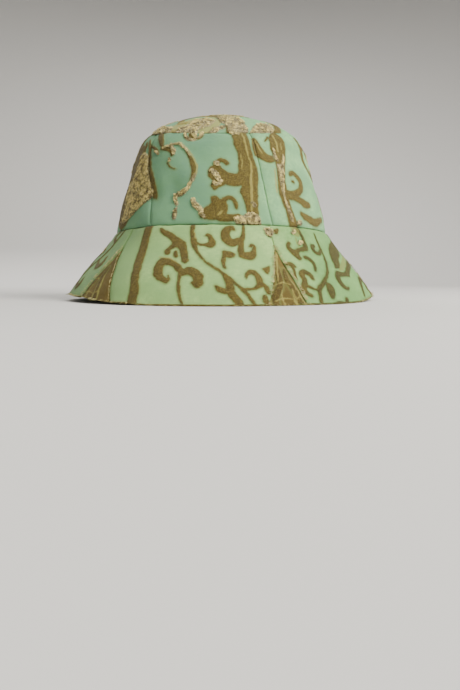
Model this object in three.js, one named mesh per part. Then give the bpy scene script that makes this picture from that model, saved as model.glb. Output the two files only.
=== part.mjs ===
// Soft bucket hat: domed tip, six-panel crown, brim with six triangular godets and a facing below.
// Millimetres, +Z up, front of the hat towards -Y, origin on the floor under the middle of the hat.
import * as THREE from 'three';

const DEG = Math.PI / 180;

// Head seam ring where crown and brim meet: half-width, half-depth, height.
const SEAM = { a: 98.5, b: 90, z: 61 };

// Ring where the crown panels meet the tip: half-width, half-depth, mean height, saddle.
const TIP = { a: 74, b: 65.5, z: 146, saddle: 5.5 };

// Hem of the brim: half-width and half-depth.
const HEM = { a: 136, b: 127 };

// Rise of the tip above its ring, how flat its middle is, and the small peak at its centre.
const DOME = { rise: 25, power: 2.8, peak: 3, peakRadius: 17 };

// Share of a quarter sine that the crown wall's height follows.
const WALL_BEND = 0.65;

// Share of the brim's run that leans out later than a straight cone, for its soft S curve.
const BRIM_CURVE = 0.2;

// Cloth thicknesses and the sewing gap between neighbouring pieces.
const CLOTH = 1.6;
const FACING = 1.2;
const LAYER_GAP = 0.3;
const HALF_SEAM = 0.16;

// Where the hem stands clear of the floor: angle from the front, lift.
const HEM_LIFT = [
  [-180, 0], [-140, 0], [-104, 3], [-75, 6], [-56, 5], [-34, 2], [-15, 0],
  [20, 0], [50, 0], [70, 3], [90, 7], [115, 4], [145, 0],
];

// Where the hem reaches further out than its ellipse: angle from the front, distance.
const HEM_REACH = [
  [-180, 0], [-125, 0], [-89, 3], [-55, 0], [0, 0], [60, 0], [89, 3], [125, 0],
];

// Soft dents and bulges of the crown wall: angle, height share, depth, widths.
const DENTS = [
  { at: -25, t: 0.3, depth: 3, wide: 6, tall: 0.13 },
  { at: 40, t: 0.72, depth: 1.4, wide: 14, tall: 0.16 },
  { at: -58, t: 0.6, depth: -1.6, wide: 14, tall: 0.25 },
  { at: 118, t: 0.45, depth: 1.8, wide: 12, tall: 0.2 },
  { at: 178, t: 0.6, depth: 1.5, wide: 16, tall: 0.2 },
  { at: 238, t: 0.4, depth: 1.8, wide: 13, tall: 0.2 },
];

// The crown's fold at the left front seam: angle, width and share by which it stands out.
const CORNER = { at: -31, wide: 12, share: 0.03 };

// Seams of the crown panels, in degrees from the front: at the head seam, at the tip.
const CROWN_SEAMS = [[-33, -54], [25, 20], [85, 78], [146, 142], [206, 206], [267, 258]];

// Godets of the brim: apex angle and the two angles of the base at the hem.
const GODET_TOP = 0.29;
const GODET_POINT = 1;
const GODETS = [
  { name: 'front_left', apex: -47, from: -54, to: -36.5 },
  { name: 'front_right', apex: 23, from: 14.8, to: 27.9 },
  { name: 'right', apex: 84, from: 77, to: 91 },
  { name: 'back_right', apex: 145, from: 138, to: 152 },
  { name: 'back_left', apex: 205, from: 198, to: 212 },
  { name: 'left', apex: 262, from: 255, to: 269 },
];

// Joins of the facing under the brim.
const FACING_SEAMS = [-10, 50, 110, 170, 230, 290];

const CROWN_NAMES = ['front', 'front_right', 'back_right', 'back', 'back_left', 'front_left'];
const BRIM_NAMES = ['front', 'front_right', 'back_right', 'back', 'back_left', 'front_left'];
const FACING_NAMES = ['front', 'front_right', 'back_right', 'back', 'back_left', 'front_left'];

// Smooth periodic lookup in a table of [degrees, value].
function tableAt(table, angle) {
  const turns = Math.floor((angle / DEG + 180) / 360);
  const d = angle / DEG - 360 * turns;
  const last = table.length - 1;
  for (let i = 0; i <= last; i += 1) {
    const next = i === last ? [table[0][0] + 360, table[0][1]] : table[i + 1];
    if (d >= table[i][0] && d <= next[0]) {
      const u = (d - table[i][0]) / (next[0] - table[i][0]);
      const s = u * u * (3 - 2 * u);
      return table[i][1] * (1 - s) + next[1] * s;
    }
  }
  return table[0][1];
}

// Bell curve of the angle between two directions, in degrees of width.
function bell(angle, at, wide) {
  const d = angle / DEG - at;
  const near = d - 360 * Math.round(d / 360);
  return Math.exp(-((near / wide) ** 2));
}

// Outer face of the crown wall: t runs from the head seam (0) to the tip ring (1).
function crownPoint(angle, t) {
  const fold = CORNER.share * bell(angle, CORNER.at, CORNER.wide);
  const low = 1 + fold;
  const high = 1 + 0.6 * fold;
  let a = SEAM.a * low * (1 - t) + TIP.a * high * t;
  let b = SEAM.b * low * (1 - t) + TIP.b * high * t;
  for (const dent of DENTS) {
    const depth = dent.depth * bell(angle, dent.at, dent.wide) * Math.exp(-(((t - dent.t) / dent.tall) ** 2));
    a -= depth;
    b -= depth;
  }
  const top = TIP.z - TIP.saddle * Math.cos(2 * angle);
  const rise = Math.sin(t * WALL_BEND * Math.PI / 2) / Math.sin(WALL_BEND * Math.PI / 2);
  return new THREE.Vector3(a * Math.sin(angle), -b * Math.cos(angle), SEAM.z * (1 - rise) + top * rise);
}

// Outer face of the tip: r runs from its middle (0) to its ring (1).
function tipPoint(angle, r) {
  const edge = crownPoint(angle, 1);
  const x = edge.x * r;
  const y = edge.y * r;
  const peak = DOME.peak * Math.exp(-(x * x + y * y) / DOME.peakRadius ** 2);
  const dome = DOME.rise * (1 - r ** DOME.power);
  return new THREE.Vector3(x, y, edge.z * r * r + TIP.z * (1 - r * r) + dome + peak);
}

// Outer face of the brim: t runs from the head seam (0) to the hem (1).
function brimPoint(angle, t) {
  const fold = CORNER.share * bell(angle, CORNER.at, CORNER.wide);
  const reach = tableAt(HEM_REACH, angle);
  const run = t - BRIM_CURVE * Math.sin(2 * Math.PI * t) / (2 * Math.PI);
  const a = SEAM.a * (1 + fold) * (1 - run) + (HEM.a + reach) * run;
  const b = SEAM.b * (1 + fold) * (1 - run) + (HEM.b + reach) * run;
  const z = SEAM.z * (1 - t) + tableAt(HEM_LIFT, angle) * t;
  return new THREE.Vector3(a * Math.sin(angle), -b * Math.cos(angle), z);
}

// Outward normal of a surface; upward says whether t grows upwards.
function normalOf(surface, angle, t, upward) {
  const e = 1e-4;
  const along = surface(angle + e, t).sub(surface(angle - e, t));
  const up = surface(angle, t + e).sub(surface(angle, t - e));
  if (!upward) {
    up.negate();
  }
  return along.cross(up).normalize();
}

function smoothStep(from, to, value) {
  const u = Math.min(1, Math.max(0, (value - from) / (to - from)));
  return u * u * (3 - 2 * u);
}

// Shared direction of the cloth's edge where crown and tip meet.
function mitre(angle) {
  const wall = normalOf(crownPoint, angle, 1, true);
  const top = normalOf(tipPoint, angle, 1, false);
  return wall.add(top).normalize();
}

function crownDirection(angle, t) {
  const own = normalOf(crownPoint, angle, t, true);
  return own.lerp(mitre(angle), smoothStep(0.86, 0.997, t)).normalize();
}

function tipDirection(angle, r) {
  if (r < 1e-6) {
    return new THREE.Vector3(0, 0, 1);
  }
  const own = normalOf(tipPoint, angle, r, false);
  return own.lerp(mitre(angle), smoothStep(0.8, 0.997, r)).normalize();
}

// At the hem the layers are cut level, so their edges lie flat on the floor.
function brimDirection(angle, t) {
  const own = normalOf(brimPoint, angle, t, false);
  const level = new THREE.Vector3(own.x, own.y, 0).normalize();
  return own.lerp(level, smoothStep(0.86, 1, t)).normalize();
}

// A closed patch of cloth: a subdivided box whose corners are laid on the surface.
function clothPatch({ columns, stations, left, right, surface, direction, outer, inner, downward }) {
  const rows = stations.length - 1;
  const geometry = new THREE.BoxGeometry(1, 1, 1, columns, rows, 1);
  const position = geometry.attributes.position;
  for (let i = 0; i < position.count; i += 1) {
    const u = position.getX(i) + 0.5;
    const row = Math.round((position.getY(i) + 0.5) * rows);
    const t = stations[downward ? rows - row : row];
    const middle = surface((left(t) + right(t)) / 2, t);
    const slack = HALF_SEAM / Math.hypot(middle.x, middle.y);
    const angle = (left(t) + slack) * (1 - u) + (right(t) - slack) * u;
    const depth = position.getZ(i) > 0 ? outer : inner;
    const point = surface(angle, t).addScaledVector(direction(angle, t), -depth);
    position.setXYZ(i, point.x, point.y, point.z);
  }
  geometry.computeVertexNormals();
  return geometry;
}

// Even stations between two shares of a surface.
function evenly(from, to, count) {
  return Array.from({ length: count + 1 }, (_, i) => from + (to - from) * i / count);
}

const group = new THREE.Group();
group.name = 'bucket_hat';
const cloth = new THREE.MeshStandardMaterial({ color: 0x9fc7a0, roughness: 0.9 });
const gold = new THREE.MeshStandardMaterial({ color: 0x8a6a1e, roughness: 0.9 });

function add(name, geometry, material) {
  const mesh = new THREE.Mesh(geometry, material);
  mesh.name = name;
  group.add(mesh);
}

// Crown panels.
CROWN_SEAMS.forEach((seam, i) => {
  const last = i === CROWN_SEAMS.length - 1;
  const next = CROWN_SEAMS[last ? 0 : i + 1];
  const turn = last ? 360 : 0;
  const geometry = clothPatch({
    columns: 13,
    stations: evenly(0.0015, 0.9975, 8),
    left: (t) => (seam[0] * (1 - t) + seam[1] * t) * DEG,
    right: (t) => (next[0] * (1 - t) + next[1] * t + turn) * DEG,
    surface: crownPoint,
    direction: crownDirection,
    outer: 0,
    inner: CLOTH,
    downward: false,
  });
  add(`crown_panel_${CROWN_NAMES[i]}`, geometry, cloth);
});

// Tip of the crown: a lathed disc of cloth laid on the dome.
const rings = 6;
const profile = [];
for (let i = 0; i <= rings; i += 1) {
  profile.push(new THREE.Vector2(i / rings, 0));
}
for (let i = rings; i >= 0; i -= 1) {
  profile.push(new THREE.Vector2(i / rings, 1));
}
const tipGeometry = new THREE.LatheGeometry(profile, 64);
const tipPosition = tipGeometry.attributes.position;
for (let i = 0; i < tipPosition.count; i += 1) {
  const x = tipPosition.getX(i);
  const z = tipPosition.getZ(i);
  const r = Math.hypot(x, z) * 0.9985;
  const angle = r < 1e-6 ? 0 : Math.atan2(x, z);
  const depth = tipPosition.getY(i) > 0.5 ? 0 : CLOTH;
  const point = tipPoint(angle, r).addScaledVector(tipDirection(angle, r), -depth);
  tipPosition.setXYZ(i, point.x, point.y, point.z);
}
tipGeometry.computeVertexNormals();
add('crown_tip', tipGeometry, cloth);

// Edge of a godet at a station: side -1 is its left edge, +1 its right edge.
function godetEdge(godet, side, t) {
  const top = brimPoint(godet.apex * DEG, GODET_TOP);
  const half = GODET_POINT / Math.hypot(top.x, top.y);
  const share = (t - GODET_TOP - 0.02) / (1 - GODET_TOP - 0.02);
  const base = (side < 0 ? godet.from : godet.to) * DEG;
  return (godet.apex * DEG + side * half) * (1 - share) + base * share;
}

// Side of a brim panel: the plain seam above a godet's point, then the godet's edge.
function brimSeam(godet, side, t) {
  return t < GODET_TOP + 0.01 ? godet.apex * DEG : godetEdge(godet, side, t);
}

const brimStations = [...evenly(0.002, GODET_TOP, 3), ...evenly(GODET_TOP + 0.02, 1, 5)];

// Brim panels, each between two godets.
GODETS.forEach((godet, i) => {
  const last = i === GODETS.length - 1;
  const next = GODETS[last ? 0 : i + 1];
  const turn = last ? 2 * Math.PI : 0;
  const geometry = clothPatch({
    columns: 14,
    stations: brimStations,
    left: (t) => brimSeam(godet, 1, t),
    right: (t) => brimSeam(next, -1, t) + turn,
    surface: brimPoint,
    direction: brimDirection,
    outer: 0,
    inner: CLOTH,
    downward: true,
  });
  add(`brim_panel_${BRIM_NAMES[i]}`, geometry, cloth);
});

// Godets: the golden wedges let into the brim.
GODETS.forEach((godet) => {
  const geometry = clothPatch({
    columns: 4,
    stations: evenly(GODET_TOP + 0.026, 1, 7),
    left: (t) => godetEdge(godet, -1, t),
    right: (t) => godetEdge(godet, 1, t),
    surface: brimPoint,
    direction: brimDirection,
    outer: 0,
    inner: CLOTH,
    downward: true,
  });
  add(`brim_godet_${godet.name}`, geometry, gold);
});

// Facing under the brim.
FACING_SEAMS.forEach((seam, i) => {
  const next = i === FACING_SEAMS.length - 1 ? FACING_SEAMS[0] + 360 : FACING_SEAMS[i + 1];
  const geometry = clothPatch({
    columns: 12,
    stations: evenly(0.002, 1, 8),
    left: () => seam * DEG,
    right: () => next * DEG,
    surface: brimPoint,
    direction: brimDirection,
    outer: CLOTH + LAYER_GAP,
    inner: CLOTH + LAYER_GAP + FACING,
    downward: true,
  });
  add(`brim_facing_${FACING_NAMES[i]}`, geometry, cloth);
});

export default group;
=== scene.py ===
"""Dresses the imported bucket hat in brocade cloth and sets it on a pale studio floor."""
from __future__ import annotations

import logging
import math
from collections.abc import Callable
from dataclasses import dataclass, field
from enum import Enum

import bmesh
import bpy
import numpy as np
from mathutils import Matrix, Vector

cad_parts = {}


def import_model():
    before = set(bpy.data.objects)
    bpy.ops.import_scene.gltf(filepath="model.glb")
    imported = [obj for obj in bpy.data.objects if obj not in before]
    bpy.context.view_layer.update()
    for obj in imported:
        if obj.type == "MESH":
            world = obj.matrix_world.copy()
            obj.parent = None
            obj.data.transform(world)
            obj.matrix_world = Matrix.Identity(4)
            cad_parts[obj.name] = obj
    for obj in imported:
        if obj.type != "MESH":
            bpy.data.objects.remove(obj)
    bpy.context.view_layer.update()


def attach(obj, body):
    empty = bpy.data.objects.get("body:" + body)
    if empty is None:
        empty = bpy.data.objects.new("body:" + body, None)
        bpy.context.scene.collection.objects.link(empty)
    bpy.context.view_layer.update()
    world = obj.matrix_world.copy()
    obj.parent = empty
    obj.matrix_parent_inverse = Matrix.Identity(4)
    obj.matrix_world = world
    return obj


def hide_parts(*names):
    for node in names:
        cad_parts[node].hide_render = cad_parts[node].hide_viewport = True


LOG = logging.getLogger("bucket_hat")
MM = 0.001
BODY = "root"
# Cells along a side of the noise lattice
LATTICE = 64

Array = np.ndarray
Surface = Callable[[Array, Array], Array]
Points = tuple[tuple[float, ...], ...]


class Yarn(Enum):
    """The yarns that lie on the ground cloth, named as their mesh attributes."""

    VELVET = "velvet"
    LOOPS = "loops"
    PALE = "pale"


class Side(Enum):
    """Edges of a cloth panel, as seen from outside with the crown up."""

    LEFT = -1
    RIGHT = 1


# Small helpers on arrays


def smooth_step(low: float, high: float, value: Array) -> Array:
    """Returns 0 below low, 1 above high and a smooth blend between."""
    share = np.clip((value - low) / (high - low), 0.0, 1.0)
    return share * share * (3.0 - 2.0 * share)


def value_noise(x: Array, y: Array, seed: int) -> Array:
    """Smooth two-dimensional noise.

    Args:
        x: First coordinate, one unit per lattice cell.
        y: Second coordinate.
        seed: Seed of the lattice.

    Returns:
        Values from -1 to 1.
    """
    lattice = np.random.default_rng(seed).uniform(-1.0, 1.0, (LATTICE, LATTICE))
    column = np.floor(x).astype(int)
    row = np.floor(y).astype(int)
    across = x - column
    along = y - row
    across = across * across * (3.0 - 2.0 * across)
    along = along * along * (3.0 - 2.0 * along)
    left, right = column % LATTICE, (column + 1) % LATTICE
    low, high = row % LATTICE, (row + 1) % LATTICE
    near = lattice[low, left] * (1 - across) + lattice[low, right] * across
    far = lattice[high, left] * (1 - across)
    far = far + lattice[high, right] * across
    return near * (1 - along) + far * along


# Form of the hat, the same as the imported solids


@dataclass(frozen=True)
class HatForm:
    """Outer faces of crown wall, tip and brim, in millimetres."""

    seam_half_width: float = 98.5
    seam_half_depth: float = 90.0
    seam_height: float = 61.0
    tip_half_width: float = 74.0
    tip_half_depth: float = 65.5
    tip_height: float = 146.0
    tip_saddle: float = 5.5
    hem_half_width: float = 136.0
    hem_half_depth: float = 127.0
    dome_rise: float = 25.0
    dome_power: float = 2.8
    peak: float = 3.0
    peak_radius: float = 17.0
    wall_bend: float = 0.65
    brim_curve: float = 0.2
    fold_at: float = -31.0
    fold_width: float = 12.0
    fold_share: float = 0.03
    wall_ripple: float = 1.1
    brim_ripple: float = 0.9
    round_over: float = 2.4
    round_over_from: float = 0.82
    hem_lift: Points = (
        (-180, 0), (-140, 0), (-104, 3), (-75, 6), (-56, 5), (-34, 2), (-15, 0),
        (20, 0), (50, 0), (70, 3), (90, 7), (115, 4), (145, 0),
    )
    hem_reach: Points = ((-180, 0), (-125, 0), (-89, 3), (-55, 0), (0, 0), (60, 0), (89, 3), (125, 0))
    dents: Points = (
        (-25, 0.3, 3.0, 6, 0.13),
        (-34, 0.24, 2.6, 6, 0.1),
        (-16, 0.9, 1.2, 9, 0.06),
        (8, 0.12, 1.0, 10, 0.07),
        (40, 0.72, 1.4, 14, 0.16),
        (-58, 0.6, -1.6, 14, 0.25),
        (118, 0.45, 1.8, 12, 0.2),
        (178, 0.6, 1.5, 16, 0.2),
        (238, 0.4, 1.8, 13, 0.2),
    )

    def lookup(self, rows: Points, angle: Array) -> Array:
        """Smooth periodic lookup in rows of (degrees, value).

        Args:
            rows: The table, in rising order of angle.
            angle: Angles from the front, in radians.

        Returns:
            The blended values.
        """
        stops = np.array([row[0] for row in rows] + [rows[0][0] + 360.0])
        values = np.array([row[1] for row in rows] + [rows[0][1]], dtype=float)
        degrees = (np.degrees(angle) + 180.0) % 360.0 - 180.0
        index = np.clip(np.searchsorted(stops, degrees, side="right") - 1, 0, len(stops) - 2)
        share = (degrees - stops[index]) / (stops[index + 1] - stops[index])
        share = share * share * (3.0 - 2.0 * share)
        return values[index] * (1 - share) + values[index + 1] * share

    def bell(self, angle: Array, at: float, width: float) -> Array:
        """Bell curve round an angle; at and width are in degrees."""
        away = (np.degrees(angle) - at + 180.0) % 360.0 - 180.0
        return np.exp(-((away / width) ** 2))

    def ripple(self, angle: Array, height: Array) -> Array:
        """Slow waves of soft cloth, closed round the hat.

        Args:
            angle: Angles from the front, in radians.
            height: Places up the cloth.

        Returns:
            Heights from about -1 to 1.
        """
        wave = np.sin(5 * angle + 3.1 * height + 0.6) * 0.5
        wave = wave + np.sin(9 * angle - 5.0 * height + 2.2) * 0.3
        return wave + np.sin(14 * angle + 8.0 * height + 4.0) * 0.2

    def wall(self, angle: Array, t: Array) -> Array:
        """Places on the crown wall.

        Args:
            angle: Angles from the front, in radians.
            t: Share of the way from the head seam (0) to the tip (1).

        Returns:
            Points in millimetres.
        """
        fold = self.fold_share * self.bell(angle, self.fold_at, self.fold_width)
        low = 1 + fold
        high = 1 + 0.6 * fold
        half_width = self.seam_half_width * low * (1 - t) + self.tip_half_width * high * t
        half_depth = self.seam_half_depth * low * (1 - t) + self.tip_half_depth * high * t
        for at, middle, depth, wide, tall in self.dents:
            dent = depth * self.bell(angle, at, wide) * np.exp(-(((t - middle) / tall) ** 2))
            half_width = half_width - dent
            half_depth = half_depth - dent
        soft = self.wall_ripple * self.ripple(angle, 2.0 * t) * np.sin(np.pi * np.clip(t, 0, 1))
        rolled = np.clip((t - self.round_over_from) / (1 - self.round_over_from), 0, None)
        soft = soft - self.round_over * rolled**2
        half_width = half_width + soft
        half_depth = half_depth + soft
        top = self.tip_height - self.tip_saddle * np.cos(2 * angle)
        rise = np.sin(t * self.wall_bend * np.pi / 2) / math.sin(self.wall_bend * math.pi / 2)
        z = self.seam_height * (1 - rise) + top * rise
        return np.stack([half_width * np.sin(angle), -half_depth * np.cos(angle), z], -1)

    def tip(self, angle: Array, r: Array) -> Array:
        """Places on the tip of the crown.

        Args:
            angle: Angles from the front, in radians.
            r: Share of the way from the tip's middle (0) to its ring (1).

        Returns:
            Points in millimetres.
        """
        edge = self.wall(angle, np.ones_like(angle))
        x = edge[..., 0] * r
        y = edge[..., 1] * r
        peak = self.peak * np.exp(-(x * x + y * y) / self.peak_radius**2)
        soft = 0.9 * np.sin(x / 17.0 + 1.0) * np.cos(y / 14.0 + 0.4) * np.sin(np.pi * np.clip(r, 0, 1))
        z = edge[..., 2] * r * r + self.tip_height * (1 - r * r) + self.dome_rise * (1 - r**self.dome_power)
        outer_band = smooth_step(0.5, 0.8, r) * (1 - smooth_step(0.85, 1.0, r))
        soft = soft + 0.8 * np.sin(angle * 5 + 1.0) * outer_band
        return np.stack([x, y, z + peak + soft], -1)

    def brim(self, angle: Array, t: Array) -> Array:
        """Places on the brim.

        Args:
            angle: Angles from the front, in radians.
            t: Share of the way from the head seam (0) to the hem (1).

        Returns:
            Points in millimetres.
        """
        fold = self.fold_share * self.bell(angle, self.fold_at, self.fold_width)
        reach = self.lookup(self.hem_reach, angle)
        run = t - self.brim_curve * np.sin(2 * np.pi * t) / (2 * np.pi)
        soft = self.brim_ripple * self.ripple(angle, 1.4 * t + 2.0) * np.sin(np.pi * np.clip(t, 0, 1))
        inner = (1 + fold) * (1 - run)
        half_width = self.seam_half_width * inner + (self.hem_half_width + reach) * run + soft
        half_depth = self.seam_half_depth * inner + (self.hem_half_depth + reach) * run + soft
        z = self.seam_height * (1 - t) + self.lookup(self.hem_lift, angle) * t
        return np.stack([half_width * np.sin(angle), -half_depth * np.cos(angle), z], -1)

    def normals(self, surface: Surface, angle: Array, t: Array, rising: bool) -> Array:
        """Outward unit normals of a surface.

        Args:
            surface: One of this form's faces.
            angle: Angles from the front, in radians.
            t: Second parameter of the face.
            rising: True where t grows upwards.

        Returns:
            Unit vectors that point out of the hat.
        """
        step = 1e-3
        along = surface(angle + step, t) - surface(angle - step, t)
        up = surface(angle, t + step) - surface(angle, t - step)
        out = np.cross(along, up if rising else -up)
        length = np.linalg.norm(out, axis=-1, keepdims=True)
        return out / np.maximum(length, 1e-9)


# Charts of the woven pattern, in millimetres on the unrolled cloth

# Distances to motifs are cut off here
MOTIF_REACH = 6.0


@dataclass(frozen=True)
class Stroke:
    """A line of yarn that swells and thins: points of (across, up, half-width)."""

    points: Points

    def distance(self, x: Array, y: Array) -> Array:
        """Signed distance to the stroke's edge, negative inside.

        Args:
            x: Places across the cloth.
            y: Places up the cloth.

        Returns:
            Distances, cut off at MOTIF_REACH.
        """
        knots = np.array(self.points, dtype=float)
        if len(knots) > 2:
            padded = np.vstack([2 * knots[0] - knots[1], knots, 2 * knots[-1] - knots[-2]])
            path = []
            for i in range(1, len(padded) - 2):
                a, b, c, d = padded[i - 1], padded[i], padded[i + 1], padded[i + 2]
                for u in np.linspace(0.0, 1.0, 6, endpoint=False):
                    turn = 2 * a - 5 * b + 4 * c - d
                    bend = 3 * b - a - 3 * c + d
                    path.append(0.5 * (2 * b + (c - a) * u + turn * u * u + bend * u**3))
            path.append(knots[-1])
            knots = np.array(path)
        best = np.full(x.shape, MOTIF_REACH)
        low = knots[:, :2].min(0) - knots[:, 2].max() - MOTIF_REACH
        high = knots[:, :2].max(0) + knots[:, 2].max() + MOTIF_REACH
        near = (x > low[0]) & (x < high[0]) & (y > low[1]) & (y < high[1])
        if not near.any():
            return best
        px, py = x[near], y[near]
        found = np.full(px.shape, MOTIF_REACH)
        for start, end in zip(knots[:-1], knots[1:]):
            run = end[:2] - start[:2]
            length = max(float(run @ run), 1e-9)
            share = np.clip(((px - start[0]) * run[0] + (py - start[1]) * run[1]) / length, 0, 1)
            gap = np.hypot(px - start[0] - share * run[0], py - start[1] - share * run[1])
            found = np.minimum(found, gap - start[2] * (1 - share) - end[2] * share)
        best[near] = found
        return best


@dataclass(frozen=True)
class Patch:
    """A solid area of yarn, drawn by its outline."""

    points: Points

    def distance(self, x: Array, y: Array) -> Array:
        """Signed distance to the outline, negative inside.

        Args:
            x: Places across the cloth.
            y: Places up the cloth.

        Returns:
            Distances, cut off at MOTIF_REACH.
        """
        corners = np.array(self.points, dtype=float)
        best = np.full(x.shape, MOTIF_REACH)
        low = corners.min(0) - MOTIF_REACH
        high = corners.max(0) + MOTIF_REACH
        near = (x > low[0]) & (x < high[0]) & (y > low[1]) & (y < high[1])
        if not near.any():
            return best
        px, py = x[near], y[near]
        found = np.full(px.shape, 1e3)
        inside = np.zeros(px.shape, dtype=bool)
        for start, end in zip(corners, np.roll(corners, -1, 0)):
            run = end - start
            length = max(float(run @ run), 1e-9)
            share = np.clip(((px - start[0]) * run[0] + (py - start[1]) * run[1]) / length, 0, 1)
            gap = np.hypot(px - start[0] - share * run[0], py - start[1] - share * run[1])
            found = np.minimum(found, gap)
            rise = run[1] if abs(run[1]) > 1e-9 else 1e-9
            crosses = (start[1] > py) != (end[1] > py)
            inside ^= crosses & (px < start[0] + (py - start[1]) * run[0] / rise)
        best[near] = np.minimum(np.where(inside, -found, found), MOTIF_REACH)
        return best


@dataclass(frozen=True)
class Chart:
    """The drawing of one cloth: its motifs by yarn."""

    motifs: dict[Yarn, tuple[Stroke | Patch, ...]]

    def distance(self, yarn: Yarn, x: Array, y: Array) -> Array:
        """Signed distance to the nearest motif of a yarn.

        Args:
            yarn: The yarn asked for.
            x: Places across the cloth, in millimetres.
            y: Places up the cloth.

        Returns:
            Distances up to MOTIF_REACH both ways, negative inside a motif.
        """
        wander_x = x + 0.45 * value_noise(x / 3.1, y / 3.1, 11) + 0.2 * value_noise(x / 1.1, y / 1.1, 12)
        wander_y = y + 0.45 * value_noise(x / 3.1, y / 3.1, 13) + 0.2 * value_noise(x / 1.1, y / 1.1, 14)
        best = np.full(x.shape, MOTIF_REACH)
        for motif in self.motifs.get(yarn, ()):
            best = np.minimum(best, motif.distance(wander_x, wander_y))
        return np.clip(best, -MOTIF_REACH, MOTIF_REACH)


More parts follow.
